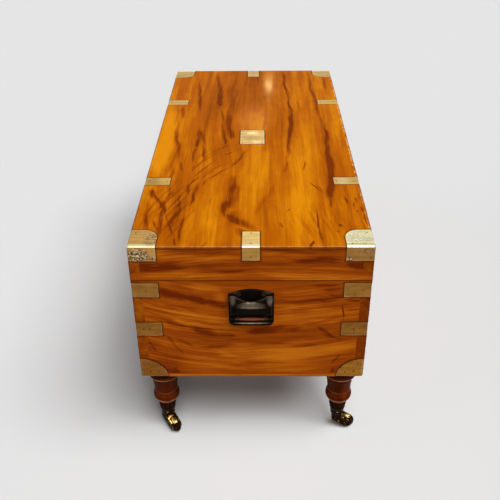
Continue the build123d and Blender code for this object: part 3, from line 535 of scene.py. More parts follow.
def board_wood(node, settings, axis, shift, contrast, tone, marks):
    """Polished camphor wood with its grain along one axis."""
    made, bench, shader, place, facing = new_material(node + "_wood")
    top = node == "lid_top_board"
    grain_place = along_grain(bench, place, axis)
    if node == "base_right_end_board":
        grain_place = sagged(bench, grain_place, (0.95, 0.45))
    if settings.grain_size != 1.0:
        grain_place = bench.vector("DIVIDE", grain_place, (settings.grain_size,) * 3)
    grain = camphor_grain(bench, Place=grain_place, Shift=shift, Wander=0.045)
    figure = bench.less(bench.between(0.42, grain["Figure"], grain["Ribbons"]), 0.5)
    figure = bench.plus(bench.times(figure, contrast), 0.5 + tone)
    for layer, amount in (("Mottle", 0.15), ("Threads", 0.2 if top else 0.66)):
        figure = bench.plus(figure, bench.times(bench.less(grain[layer], 0.5), amount))
    if marks:
        figure = marks(bench, place, figure)
    brown = [dark * 0.45 + middle * 0.55 for dark, middle in zip(settings.dark, settings.middle)]
    stops = ((0.2, settings.dark), (0.36, brown), (0.5, settings.middle), (0.75, settings.light))
    tint = bench.ramp(figure, *stops)
    fibres = bench.span(grain["Fibres"], 0.3, 0.7, 0.93, 1.05)
    hue = (1.0, 1.0, 0.6) if top else (1.0, 0.8, 2.2)
    tint = bench.vector("MULTIPLY", tint, bench.grown(hue, fibres))
    tint = bench.blend(bench.times(grain["Pores"], 0.16), tint, colour(settings.dark))
    # End grain drinks more polish and goes darker
    ends = bench.span(bench.unsigned(bench.parts(facing)["XYZ".index(axis)]), 0.75, 0.95)
    tint = bench.blend(bench.times(ends, 0.42 if "front" in node else 0.62), tint, colour(settings.dark))
    # Raw wood inside the trunk
    x, y, z = bench.parts(bench.vector("ABSOLUTE", place))
    inside = bench.times(
        bench.maths("LESS_THAN", x, HALF_LENGTH - BOARD + 0.0006),
        bench.maths("LESS_THAN", y, HALF_WIDTH - BOARD + 0.0006),
        bench.maths("LESS_THAN", z, LID_JOINT - 0.001),
        bench.maths("GREATER_THAN", z, CASE_BOTTOM + 0.001),
    )
    tint = bench.blend(inside, tint, bench.blend(0.55, tint, BARE_WOOD))
    # Dirt and painted shade round the brass and along the joints
    dirt_and_shade = leaf_edges(bench, place, 0.0054, "Mask")
    for height, reach in JOINTS:
        gap = bench.unsigned(bench.less(z, height))
        dirt_and_shade = bench.most(dirt_and_shade, bench.span(gap, reach * 0.3, reach, 0.85, 0.0))
    dirt_and_shade = bench.times(dirt_and_shade, bench.less(1.0, inside))
    tint = bench.blend(bench.times(dirt_and_shade, 0.8), tint, DIRT_AND_SHADE)
    # Edges: the arrises scuffed pale with a painted highlight, the long top edges scuffed pale just inside
    # with a painted highlight, and a dark line along the long edges
    edge_wear_and_sheen = bench.times(arris_wear_and_sheen(bench, Place=place, Width=0.0024)["Mask"], bench.less(1.0, dirt_and_shade))
    tint = bench.blend(bench.times(edge_wear_and_sheen, 0.5), tint, WORN_ARRIS_SHEEN)
    edge = side_edge(bench, Place=place, Facing=facing)
    # Painted highlight and scuffing just inside the long top edges
    tint = bench.blend(bench.times(edge["Rubbed"], 0.7), tint, WORN_EDGE_HIGHLIGHT)
    tint = bench.blend(bench.times(edge["Line"], 0.8), tint, EDGE_DARK_LINE)
    rough = bench.plus(bench.span(grain["Mottle"], 0.3, 0.7, 0.06, 0.1), bench.times(inside, 0.3))
    feeds = {"Base Color": tint, "Roughness": rough, "Specular IOR Level": 0.003}
    height = bench.less(grain["Fibres"], bench.times(grain["Pores"], 0.6))
    finish_surface(bench, shader, feeds, height, 0.05, 0.0004)
    return made


# Marks on the lid's top in millimetres: start, end, bow and half width, then depth
TOP_STREAKS = (
    (-403, -158, -172, -141, 4, 6, 0.34), (-480, -106, -208, -87, 2, 7.5, 0.35),
    (-250, -92, -205, -86, 1, 9, 0.35), (-202, -190, -117, -180, 0, 6, 0.23),
    (-164, -63, 11, -51, -2, 9, 0.32), (-200, -82, 29, -65, -1, 5, 0.26),
    (-91, -192, 118, -170, 0, 5.5, 0.2), (-60, -132, 63, -130, 2, 6, 0.29),
    (-502, 83, -245, 98, 2, 5.6, 0.34), (-262, 97, 140, 77, 6, 6, 0.34), (-150, 99, -20, 93, 1, 8.5, 0.29),
    (-502, 160, -100, 174, 0, 6.4, 0.28), (-120, 172, 330, 160, 14, 8, 0.24),
    (90, 178, 330, 160, 3, 11, 0.16), (-470, 205, -330, 207, 0, 4, 0.26),
    (-300, 118, -100, 128, 2, 4, 0.14), (-45, -191, 112, -168, 0, 7.1, 0.22),
    (81, -177, 186, -182, 0, 4.3, 0.2), (142, -163, 193, -154, 0, 4.2, 0.25),
    (247, -176, 298, -168, 0, 8.6, 0.18), (20, -131, 57, -133, 0, 4.5, 0.42),
    (53, -134, 136, -132, 0, 5, 0.3), (155, -130, 193, -129, 0, 3, 0.25),
    (-45, -125, 39, -115, 0, 7.3, 0.3), (39, -118, 122, -108, 0, 5.1, 0.32),
    (-44, -69, 46, -66, 0, 4.6, 0.28), (-44, -50, 14, -49, 0, 6.6, 0.35), (39, -51, 89, -93, 0, 3.8, 0.2),
    (89, -41, 109, -69, 0, 3.8, 0.3), (82, -12, 169, -50, 0, 4.9, 0.28), (169, -50, 230, -99, 0, 3.9, 0.32),
    (227, -96, 262, -105, 0, 4.1, 0.22), (212, -111, 262, -137, 0, 3.8, 0.3),
    (247, -113, 346, -127, 0, 5.1, 0.38), (247, -134, 293, -134, 0, 4.6, 0.32),
    (136, -88, 218, -122, 0, 3, 0.18), (102, -101, 187, -129, 0, 3.1, 0.16),
    (139, -59, 227, -110, 0, 2.7, 0.14), (275, -208, 392, -165, 0, 3.6, 0.38),
    (387, -166, 463, -145, 0, 2.6, 0.32), (273, -211, 309, -203, 0, 6.2, 0.36),
    (325, -211, 430, -207, 0, 5.4, 0.36), (276, -167, 320, -178, 0, 3.7, 0.26),
    (320, -181, 392, -176, 0, 5.4, 0.3), (387, -175, 463, -179, 0, 6.8, 0.36),
    (397, -194, 440, -181, 0, 3.7, 0.3), (392, -131, 487, -136, 0, 3.6, 0.32),
    (467, -144, 498, -144, 0, 3, 0.3), (299, -82, 336, -92, 0, 2.6, 0.15),
    (212, -41, 288, -43, 0, 9.5, 0.3), (248, -36, 357, -53, 0, 12, 0.34),
    (320, -49, 378, -57, 0, 12.5, 0.36), (254, -26, 321, -34, 0, 5.6, 0.14),
    (375, -56, 424, -23, 0, 13.5, 0.36), (393, -25, 434, -3, 0, 14, 0.32),
    (431, -25, 468, -19, 0, 10, 0.28), (477, -84, 496, -91, 0, 2.6, 0.2), (-43, 93, 48, 84, 0, 4.6, 0.38),
    (48, 84, 93, 78, 0, 3.2, 0.3), (137, 83, 198, 69, 0, 6, 0.18), (138, 123, 182, 111, 0, 3, 0.22),
    (-42, 186, 34, 177, 0, 8.2, 0.3), (31, 181, 189, 169, 0, 6.8, 0.24), (186, 169, 322, 162, 0, 5.7, 0.26),
    (319, 163, 356, 162, 0, 3.8, 0.22), (242, 125, 289, 156, -4, 2.6, 0.42),
    (314, 190, 339, 193, 0, 2.7, 0.42), (342, 221, 365, 221, 0, 3.2, 0.36),
    (309, 213, 334, 212, 0, 2.8, 0.3), (287, 224, 323, 221, 0, 2.8, 0.3),
    (363, 133, 441, 132, 0, 2.6, 0.34), (439, 131, 487, 132, 0, 2.6, 0.36), (477, 117, 500, 111, 0, 3, 0.7),
    (248, 50, 398, 2, 0, 9.4, 0.12), (358, 77, 374, 69, 0, 2.7, 0.22), (413, 58, 436, 63, 0, 4.2, 0.22),
    (-60, 181, 160, 173, 0, 3, 0.26), (120, 172, 330, 163, 0, 3.2, 0.3), (-420, 88, -180, 98, 2, 3, 0.22),
    (-200, 100, 60, 88, 2, 3, 0.26), (310, -190, 420, -176, 0, 3.4, 0.26),
    (300, -150, 400, -142, 0, 3, 0.22), (400, -205, 470, -196, 0, 3, 0.24),
    (370, 224, 425, 222, 0, 1.8, 0.4), (400, 214, 440, 216, 0, 1.6, 0.36),
    (330, 206, 350, 205, 0, 1.8, 0.36),
)
# Fine dark cracks in the lid's top
TOP_CRACKS = (
    (250, 132, 285, 155, 2, 2.2, 0.8), (136, 122, 180, 111, 1, 2, 0.4), (484, 113, 500, 112, 0, 3, 0.7),
    (380, 132, 440, 130, 0, 1.6, 0.6), (300, 20, 380, 62, -4, 1.4, 0.2),
)
# Patches on the lid's top in millimetres: centre and reach, then change of tone
TOP_PATCHES = (
    (10, -212, 260, 30, 0.2), (140, 95, 230, 85, 0.13), (350, 85, 170, 50, 0.15), (400, -80, 160, 60, 0.08),
    (200, 20, 200, 50, 0.1), (-50, 130, 350, 20, 0.06), (-300, -30, 220, 160, -0.1),
    (-460, 20, 140, 200, -0.07), (-100, -120, 220, 55, -0.05), (80, -70, 120, 35, -0.09),
    (230, 205, 300, 22, -0.05), (400, 165, 90, 20, -0.1), (199, -175, 42, 7, -0.24),
    (362, -38, 11, 15, 0.14), (407, -86, 29, 15, 0.06), (337, -86, 4, 2, -0.5), (101, -220, 85, 26, 0.12),
    (362, -191, 20, 15, 0.06), (160, 225, 5, 3, -0.5), (364, 210, 6, 2, -0.5), (396, 219, 6, 2, -0.3),
    (427, 174, 10, 6, -0.34), (451, 167, 6, 4, -0.26), (321, 110, 101, 38, 0.1), (300, 206, 103, 15, 0.06),
    (261, 171, 34, 5, -0.14), (441, 194, 23, 19, -0.06), (220, -205, 140, 22, -0.08),
    (395, -35, 50, 30, -0.12), (250, -150, 120, 30, -0.07), (430, -150, 70, 50, -0.05),
)
# Where the top's figure is combed aslant: centre and reach in millimetres, then turn and depth
TOP_COMBED = (
    (360, -165, 160, 66, -0.36, 0.26), (150, -110, 130, 40, -0.45, 0.16), (420, 120, 90, 80, 0.25, 0.12),
)

# The same for the end that the photo looks at: places are along the board, then height
LID_END_STREAKS = (
    (-175, 494, -16, 494, 0, 11.8, 0.34), (-177, 476, -16, 478, 0, 8.4, -0.2),
    (-225, 453, -122, 455, 0, 14, 0.37), (-124, 459, 5, 461, 0, 8.5, 0.17),
    (-122, 448, 5, 449, 0, 5.5, 0.14), (-222, 437, 2, 438, 0, 9.3, -0.2),
    (-174, 483, -102, 484, 0, 3.6, 0.2), (20, 493, 179, 489, 0, 8.3, 0.24), (73, 471, 180, 473, 0, 9, 0.31),
    (18, 459, 134, 457, 0, 4.3, 0.14), (8, 436, 230, 433, 0, 12.4, -0.27),
    (184, 464, 227, 463, 0, 12.1, 0.37), (20, 483, 110, 481, 0, 4.8, -0.14),
)
LID_END_PATCHES = (
    (-222, 460, 45, 45, -0.16), (204, 458.7, 16, 11.3, -0.12),
)
BASE_END_STREAKS = (
    (-180, 400, -123, 386, 0, 10.9, 0.38), (-126, 388, -83, 373, 0, 9.7, 0.4),
    (-85, 375, -44, 365, 0, 8.5, 0.33), (-124, 411, -46, 394, 0, 12.7, -0.18),
    (-213, 378, -142, 353, 0, 3.3, 0.18), (-217, 366, -148, 341, 0, 3.3, 0.2),
    (-217, 342, -149, 328, 0, 4, 0.18), (-170, 369, -108, 353, 0, 3.3, 0.15),
    (-209, 377, -118, 351, 0, 16.4, -0.07), (-174, 327, -123, 313, 0, 6.1, 0.28),
    (-125, 314, -73, 297, 0, 11.7, 0.4), (-76, 298, -34, 290, 0, 7.6, 0.22),
    (-163, 333, -90, 316, 0, 6.1, -0.18), (-176, 298, -139, 245, 0, 5.6, 0.2),
    (-152, 284, -112, 264, 0, 4.9, 0.18), (-97, 264, -37, 268, 0, 5.7, 0.2),
    (-93, 249, -60, 245, 0, 5, 0.12), (-216, 298, -192, 249, 0, 6.3, 0.15),
    (-131, 341, -50, 325, 0, 4.7, -0.1), (-119, 332, -51, 316, 0, 4.1, 0.15),
    (42, 374, 95, 377, 0, 4.5, 0.18), (73, 369, 171, 386, 0, 7.8, 0.34), (56, 383, 147, 390, 0, 3.9, 0.12),
    (108, 413, 174, 419, 0, 4.4, 0.22), (137, 404, 180, 410, 0, 4.4, 0.2),
    (147, 395, 178, 389, 0, 3.8, 0.2), (49, 395, 137, 404, 0, 9.5, -0.12),
    (49, 353, 163, 363, 0, 11.2, -0.16), (44, 316, 99, 312, 0, 8.8, 0.25),
    (-7, 299, 60, 314, 0, 11.6, 0.38), (94, 316, 179, 340, 0, 5.4, 0.18),
    (131, 316, 167, 290, 0, 5.5, 0.22), (142, 297, 183, 284, 0, 4.2, 0.18),
    (106, 332, 177, 328, 0, 8.1, -0.15), (-7, 268, 76, 272, 0, 5.6, 0.2), (76, 268, 133, 268, 0, 4.2, 0.15),
    (18, 248, 94, 245, 0, 4.3, 0.12), (156, 221, 175, 245, 0, 6.5, 0.2), (177, 381, 211, 378, 0, 3.9, 0.2),
    (181, 353, 209, 359, 0, 3.9, 0.15),
)
BASE_END_CRACKS = (
    (174, 371, 183, 331, 0, 11.2, 0.5),
)
BASE_END_PATCHES = (
    (-176, 215, 55, 48, -0.14), (178, 215, 50, 42, -0.1), (-225, 410, 40, 30, -0.1),
    (60, 205, 120, 16, 0.08), (85, 250, 110, 45, 0.12), (-58, 383.9, 19, 18.7, 0.18),
    (-203, 268.4, 33, 29.8, -0.13), (-161, 197.9, 12, 15.6, -0.22), (-225, 353.9, 12, 40.4, -0.1),
    (-79, 221.8, 85, 32.5, 0.13), (-128, 347.6, 49, 18.6, 0.06), (66, 231.9, 84, 32.2, 0.15),
    (169, 264.9, 45, 19.8, 0.1), (162, 197.9, 8, 14.5, -0.2), (67, 341.2, 29, 15.5, 0.08),
)


def run_on_ends(start, end, share):
    """The two ends of a line, each carried on by a share of its length."""
    step = [(b - a) * share for a, b in zip(start, end)]
    return [a - grow for a, grow in zip(start, step)], [b + grow for b, grow in zip(end, step)]


def place_marks(bench, plane, figure, patches, streaks, cracks=()):
    """The tone after the patches, streaks and cracks that the boards really have."""
    shake = bench.vector("SUBTRACT", bench.noise(plane, 15.0, 1.0, channel="Color"), HALVES)
    shaken = bench.vector("ADD", plane, bench.vector("MULTIPLY", shake, (0.03, 0.014, 0.0)))
    for x, y, reach_x, reach_y, change in patches:
        centre = (x / MM, y / MM, 0.0)
        reach = (reach_x / MM, reach_y / MM, FAR)
        mask = patch(bench, Place=shaken, Centre=centre, Reach=reach)["Mask"]
        figure = bench.plus(figure, bench.times(mask, change))
    threads = bench.span(bench.stretched(shaken, (12.0, 300.0, 1.0), 3.0, 0.6), 0.34, 0.66, 0.45, 1.3)
    for lines, spread, run_on, feather in ((streaks, 1.6, 0.16, threads), (cracks, 1.0, 0.0, 1.0)):
        total = 0.0
        for *places, bow, width, depth in lines:
            places = [value / MM for value in places]
            start, end = run_on_ends(places[:2], places[2:], run_on)
            feeds = {"Place": shaken, "Start": (*start, 0.0), "End": (*end, 0.0)}
            mask = streak(bench, **feeds, Bow=bow / MM, Width=width / MM * spread, Fade=0.35)["Mask"]
            total = bench.plus(total, bench.times(mask, depth))
        figure = bench.less(figure, bench.times(total, feather))
    return figure


def top_marks(bench, place, figure):
    """The figure on the lid's top board."""
    x, y, _ = bench.parts(place)
    plane = bench.join(x, y, 0.0)
    for centre_x, centre_y, reach_x, reach_y, turn, depth in TOP_COMBED:
        run = bench.vector("DOT_PRODUCT", plane, (math.cos(turn), math.sin(turn), 0.0))
        side = bench.vector("DOT_PRODUCT", plane, (-math.sin(turn), math.cos(turn), 0.0))
        lines = bench.stretched(bench.join(run, side, 0.0), (7.0, 125.0, 1.0), 3.0, 0.6, 0.6)
        centre = (centre_x / MM, centre_y / MM, 0.0)
        reach = (reach_x / MM, reach_y / MM, FAR)
        mask = bench.times(patch(bench, Place=plane, Centre=centre, Reach=reach)["Mask"], depth)
        figure = bench.less(figure, bench.times(mask, bench.span(lines, 0.46, 0.64)))
    return place_marks(bench, plane, figure, TOP_PATCHES, TOP_STREAKS, TOP_CRACKS)


def end_marks(bench, place, figure, *tables):
    """The figure on an end board that the photo looks at."""
    _, y, z = bench.parts(place)
    return place_marks(bench, bench.join(y, z, 0.0), figure, *tables)


def lid_end_marks(bench, place, figure):
    """The figure on the lid's near end."""
    return end_marks(bench, place, figure, LID_END_PATCHES, LID_END_STREAKS)


def base_end_marks(bench, place, figure):
    """The figure on the base's near end."""
    return end_marks(bench, place, figure, BASE_END_PATCHES, BASE_END_STREAKS, BASE_END_CRACKS)


# Painted highlight rings on the legs: height, reach, strength
LEG_HIGHLIGHT_RINGS = ((0.1605, 0.0034, 0.9), (0.0925, 0.0068, 1.0), (0.1165, 0.0025, 0.16))
# Where the legs are darkened: towards the foot below the first span, and a painted contact shadow under the
# case above the second; two heights, and how dark at each
LEG_DARK_AND_SHADOW = ((0.0760, 0.0800, 0.85, 0.0), (0.1680, 0.1725, 0.0, 0.85))
LEG_HIGHLIGHT = (0.8, 0.34, 0.16, 1.0)
DARK_LEG_AND_SHADOW = (0.014, 0.0045, 0.0016, 1.0)


def leg_wood(name, settings):
    """Dark polished wood on the turned legs, its grain upright, with painted highlight rings, darker towards
    the foot, and with a painted contact shadow under the case.
    """
    made, bench, shader, place, _ = new_material(name)
    grain = camphor_grain(bench, Place=along_grain(bench, place, "Z"), Shift=(4.0, 2.0, 1.0), Wander=0.02)
    figure = bench.between(0.6, grain["Figure"], grain["Ribbons"])
    stops = ((0.3, scaled(settings.leg, 0.4)), (0.5, settings.leg), (0.72, scaled(settings.leg, 1.9)))
    tint = bench.shade(bench.ramp(figure, *stops), bench.span(grain["Fibres"], 0.3, 0.7, 0.8, 1.15))
    height = bench.parts(place)[2]
    # Painted highlight rings, broken by the mottle
    leg_highlight = 0.0
    for middle, reach, strength in LEG_HIGHLIGHT_RINGS:
        gap = bench.unsigned(bench.less(height, middle))
        leg_highlight = bench.most(leg_highlight, bench.span(gap, reach * 0.4, reach, strength, 0.0))
    leg_highlight = bench.times(leg_highlight, bench.span(grain["Mottle"], 0.35, 0.65, 0.45, 1.0))
    tint = bench.blend(leg_highlight, tint, LEG_HIGHLIGHT)
    # Darker towards the foot, and a painted contact shadow at the top under the case
    for ends in LEG_DARK_AND_SHADOW:
        tint = bench.blend(bench.span(height, *ends), tint, DARK_LEG_AND_SHADOW)
    rough = bench.span(grain["Mottle"], 0.3, 0.7, 0.16, 0.28)
    feeds = {"Base Color": tint, "Roughness": rough, "Specular IOR Level": 0.012}
    finish_surface(bench, shader, feeds, grain["Fibres"], 0.15, 0.0003)
    return made


# Painted highlights and painted shade on the lid's brass: centre, reach, strength, colour
SHADED_BRASS = (0.09, 0.045, 0.012)
BRASS_HIGHLIGHT = (1.0, 0.86, 0.46)
SHEENS = {
    "lid_centre_plate": (
        ((-0.024, 0.000, 0.502), (0.013, 0.022, 0.01), 0.8, BRASS_HIGHLIGHT),
        ((0.028, 0.012, 0.502), (0.012, 0.020, 0.01), 0.6, BRASS_HIGHLIGHT),
        ((0.004, -0.006, 0.502), (0.020, 0.030, 0.01), 0.25, SHADED_BRASS),
    ),
    "lid_end_straps": (((-0.490, 0.0, 0.490), (0.090, 0.060, 0.060), 0.66, SHADED_BRASS),),
    "lid_side_straps": (
        ((0.235, -0.215, 0.502), (0.030, 0.028, 0.01), 0.4, SHADED_BRASS),
        ((0.235, 0.195, 0.502), (0.030, 0.022, 0.01), 0.35, BRASS_HIGHLIGHT),
    ),
}
PLAIN = (1.0, 1.0, 1.0)
# Colour of the scuffed rims and their painted highlight
RIM_WEAR_HIGHLIGHT = (1.0, 0.84, 0.48, 1.0)
# Colour of the painted highlight on the folds
FOLD_HIGHLIGHT = (1.0, 0.88, 0.55, 1.0)
RAISED_ETCHING = (0.95, 0.85, 0.6, 1.0)


def mount_brass(name, settings, amount, shade=PLAIN, top_shade=PLAIN, etched=(), groove=0.0):
    """Let-in sheet brass: polished and painted lit on top, stained and painted shaded on the drops, with
    painted highlights along its folds and pale rims.
    """
    made, bench, shader, place, facing = new_material(name)
    stain = tarnish(bench, Place=place, Amount=amount)
    x, _, z = bench.parts(bench.vector("ABSOLUTE", place))
    up = bench.times(bench.span(bench.parts(facing)[2], 0.25, 0.8), bench.maths("GREATER_THAN", z, LID_RIM))
    # The top painted in the polished, lit colour and the drops in the darker drop colour, which is partly
    # tarnish and partly painted shade
    aged_and_shaded = scaled(settings.aged_and_shaded, *shade)
    tint = bench.blend(up, colour(aged_and_shaded), colour(scaled(settings.bright, *top_shade)))
    clouds = bench.times(stain["Clouds"], bench.between(up, 0.6, 0.3))
    tint = bench.blend(clouds, tint, colour(scaled(aged_and_shaded, 0.62)))
    brushed = bench.stretched(place, (210.0, 16.0, 120.0), 3.0, 0.6)
    tint = bench.shade(tint, bench.span(brushed, 0.3, 0.7, 0.8, 1.14))
    # Pale rims along the leaves' edges, partly scuffing and partly a painted highlight, stronger on top
    rim = bench.times(leaf_edges(bench, place, 0.0026, "Rim", name), bench.between(up, 0.16, 0.5))
    rim = bench.times(rim, bench.span(stain["Waves"], 0.42, 0.6, 0.25, 1.0))
    tint = bench.blend(rim, tint, RIM_WEAR_HIGHLIGHT)
    # Painted highlight along the folds over the edges
    fold_highlight = bench.times(bench.span(x, 0.4895, 0.493), up, 0.75)
    tint = bench.blend(fold_highlight, tint, FOLD_HIGHLIGHT)
    # Painted highlights and painted shade placed on the lid's brass
    for centre, reach, strength, sheen in SHEENS.get(name.removesuffix("_brass"), ()):
        mask = patch(bench, Place=place, Centre=centre, Reach=reach, Core=0.2)["Mask"]
        tint = bench.blend(bench.times(mask, strength), tint, colour(sheen))
    marks = bench.times(stain["Spots"], 0.75)
    if etched:
        etch = bench.spots(place, etched, 0.45)
        crackle = bench.noise(place, 190.0, 3.0, 0.65, 1.4)
        tint = bench.blend(bench.times(bench.span(crackle, 0.4, 0.46, 0.55, 0.0), etch), tint, RAISED_ETCHING)
        marks = bench.most(marks, bench.times(bench.span(crackle, 0.46, 0.5), etch))
    if groove:
        gap = bench.unsigned(bench.less(x, groove))
        marks = bench.most(marks, bench.times(bench.span(gap, 0.0006, 0.0016, 0.8, 0.0), up))
    line = side_edge(bench, Place=place, Facing=facing)["Line"]
    marks = bench.most(marks, bench.times(line, 0.6))
    rough = bench.span(stain["Scratches"], 0.3, 0.7, 0.28, 0.44)
    feeds = {
        "Base Color": bench.blend(marks, tint, colour(settings.tarnish)),
        "Metallic": bench.span(marks, 0.0, 1.0, 1.0, 0.6),
        "Roughness": bench.plus(rough, bench.times(marks, 0.25)),
    }
    height = bench.plus(bench.times(stain["Scratches"], 0.1), stain["Waves"])
    height = bench.less(height, bench.times(marks, 0.08))
    finish_surface(bench, shader, feeds, height, 0.35, 0.0016)
    return made


# Brown skin that old castings grow
PATINA = (0.018, 0.0055, 0.0016, 1.0)


def cast_brass(name, settings, gold, highlight_spots=()):
    """Cast brass under a dark brown skin, with gold at its crests and where highlights are painted."""
    made, bench, shader, place, _ = new_material(name)
    stain = tarnish(bench, Place=place, Amount=0.5)
    crest = bench.put("ShaderNodeNewGeometry").outputs["Pointiness"]
    rubbed_and_lit = bench.times(bench.span(crest, 0.51, 0.58), 0.6)
    # Painted highlights add gold flecks
    rubbed_and_lit = bench.spots(place, highlight_spots, 0.5, rubbed_and_lit)
    flecks = bench.noise(place, 210.0, 4.0, 0.65, 0.6)
    edge = bench.less(0.74 - 0.3 * gold, bench.times(rubbed_and_lit, 0.24))
    shine = bench.span(bench.less(flecks, edge), 0.0, 0.07)
    lively = bench.blend(stain["Clouds"], colour(settings.bright), colour(settings.aged_and_shaded))
    feeds = {
        "Base Color": bench.blend(shine, PATINA, lively),
        "Metallic": shine,
        "Roughness": bench.span(stain["Scratches"], 0.3, 0.7, 0.2, 0.36),
        "Specular IOR Level": 0.02,
    }
    height = bench.plus(bench.times(stain["Scratches"], 0.25), stain["Waves"], bench.times(shine, 0.3))
    finish_surface(bench, shader, feeds, height, 0.35, 0.0012)
    return made


# Painted grey highlights on the iron handles, and below them a painted brown reflection low on the plate:
# centre and reach in |x|, y, z, then strength
IRON_HIGHLIGHTS = (
    ((0.5165, 0.0, 0.3850), (0.0055, 0.0330, 0.0032), 0.55),
    ((0.5215, 0.0, 0.3775), (0.0040, 0.0330, 0.0044), 0.8),
    ((0.5200, 0.0, 0.3810), (0.0060, 0.0340, 0.0090), 0.4),
    ((0.5195, -0.0360, 0.3930), (0.0080, 0.0085, 0.0160), 0.4),
    ((0.5195, 0.0360, 0.3930), (0.0080, 0.0085, 0.0160), 0.55),
    ((0.5040, -0.0300, 0.4000), (0.0030, 0.0120, 0.0050), 0.18),
    ((0.5040, 0.0300, 0.4000), (0.0030, 0.0120, 0.0050), 0.18),
    ((0.5071, 0.0, 0.3295), (0.0022, 0.0440, 0.0030), 1.3),
)
# Where a brown reflection is painted on the plate's lower part
IRON_REFLECTION_BAND = (((0.5040, 0.0, 0.3365), (0.0030, 0.0400, 0.0046), 0.85),)
RUST = (0.035, 0.012, 0.005, 1.0)
REFLECTED_BROWN = (0.6, 0.16, 0.055, 1.0)
IRON_HIGHLIGHT_GREY = (0.3, 0.215, 0.155, 1.0)


def black_iron(name, settings, spots, crests):
    """Blackened, waxed iron, scuffed grey at its crests, with painted grey highlights on its spots and a
    painted brown reflection low down.
    """
    made, bench, shader, place, _ = new_material(name)
    x, y, z = bench.parts(place)
    folded = bench.join(bench.unsigned(x), y, z)
    skin = bench.noise(place, 120.0, 4.0, 0.6)
    rust = bench.noise(bench.vector("ADD", place, (5.0, 2.0, 0.0)), 60.0, 5.0, 0.65)
    crest = bench.put("ShaderNodeNewGeometry").outputs["Pointiness"]
    rubbed_and_lit = bench.times(bench.span(crest, 0.52, 0.6), crests)
    # Painted grey highlights on the listed spots, with the scuffed crests
    rubbed_and_lit = bench.times(bench.spots(folded, spots, 0.2, rubbed_and_lit), bench.span(skin, 0.25, 0.6, 0.6, 1.0))
    tint = bench.ramp(skin, (0.3, scaled(settings.iron, 0.6)), (0.7, scaled(settings.iron, 1.5)))
    tint = bench.blend(bench.span(rust, 0.56, 0.72, 0.0, 0.4), tint, RUST)
    # A painted brown reflection along the lower part of the plate
    tint = bench.blend(bench.spots(folded, IRON_REFLECTION_BAND, 0.4), tint, REFLECTED_BROWN)
    feeds = {
        "Base Color": bench.blend(rubbed_and_lit, tint, IRON_HIGHLIGHT_GREY),
        "Metallic": bench.times(rubbed_and_lit, 0.3),
        "Roughness": bench.span(skin, 0.3, 0.7, 0.2, 0.32),
        "Specular IOR Level": 0.012,
    }
    finish_surface(bench, shader, feeds, skin, 0.2, 0.0009)
    return made


def seen_rays(bench):
    """One for what the camera sees, straight, mirrored or through something."""
    rays = bench.put("ShaderNodeLightPath").outputs
    return bench.most(rays["Is Camera Ray"], rays["Is Glossy Ray"], rays["Is Transmission Ray"])


def floor_paint(name, settings):
    """The pale floor: its own tone to the camera, a darker one to the light it gives back."""
    made, bench = blank_material(name)
    tone = bench.between(seen_rays(bench), settings.bounce_tone, settings.floor_tone)
    diffuse = bench.put("ShaderNodeBsdfDiffuse", {"Color": bench.join(tone, tone, tone)})
    bench.put("ShaderNodeOutputMaterial", {"Surface": diffuse.outputs[0]})
    return made


# Mesh making
def linked(name, data):
    """A new object in the scene."""
    made = bpy.data.objects.new(name, data)
    bpy.context.scene.collection.objects.link(made)
    return made


def mesh_object(name, shape, smooth_angle):
    """An object made from a bmesh, shaded smooth except across its sharp edges."""
    mesh = bpy.data.meshes.new(name)
    shape.to_mesh(mesh)
    shape.free()
    return dressed_mesh(name, mesh, smooth_angle)


def dressed_mesh(name, mesh, smooth_angle):
    """An object for a mesh, linked to the scene and shaded."""
    for face in mesh.polygons:
        face.use_smooth = True
    mesh.set_sharp_from_angle(angle=smooth_angle)
    return linked(name, mesh)


def paint(piece, material):
    """Gives a piece one material all over."""
    piece.data.materials.clear()
    piece.data.materials.append(material)
    return piece


def stand_in(piece, *nodes):
    """Lets a piece stand for CAD nodes: it rides with their body and the nodes are hidden."""
    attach(piece, BODY_OF[nodes[0]])
    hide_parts(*nodes)
    return piece


def remade(way_made, node, shape, material, smooth_angle=0.6):
    """A closed shape as a painted piece that stands for a CAD node."""
    bmesh.ops.recalc_face_normals(shape, faces=shape.faces)
    return stand_in(paint(mesh_object(way_made + node, shape, smooth_angle), material), node)


def arc(start, middle, end, steps):
    """Points on the circle through three points, after the first."""
    (ax, ay), (bx, by), (cx, cy) = start, middle, end
    turn = 2 * (ax * (by - cy) + bx * (cy - ay) + cx * (ay - by))
    a, b, c = ax * ax + ay * ay, bx * bx + by * by, cx * cx + cy * cy
    mx = (a * (by - cy) + b * (cy - ay) + c * (ay - by)) / turn
    my = (a * (cx - bx) + b * (ax - cx) + c * (bx - ax)) / turn
    radius = math.hypot(ax - mx, ay - my)
    first, via, last = (math.atan2(y - my, x - mx) for x, y in (start, middle, end))
    sweep = (last - first) % math.tau
    if (via - first) % math.tau > sweep:
        sweep -= math.tau
    angles = [first + sweep * step / steps for step in range(1, steps + 1)]
    return [(mx + radius * math.cos(angle), my + radius * math.sin(angle)) for angle in angles]


def round_point(radius, angle, height):
    """A point from its radius, angle and height."""
    return Vector((radius * math.cos(angle), radius * math.sin(angle), height))


def band(shape, low, high):
    """Joins two rings of points with faces; a ring may be a single point."""
    for step in range(max(len(low), len(high))):
        pairs = ((low, step), (low, step + 1), (high, step + 1), (high, step))
        corners = list(dict.fromkeys(ring[index % len(ring)] for ring, index in pairs))
        if len(corners) > 2:
            shape.faces.new(corners)


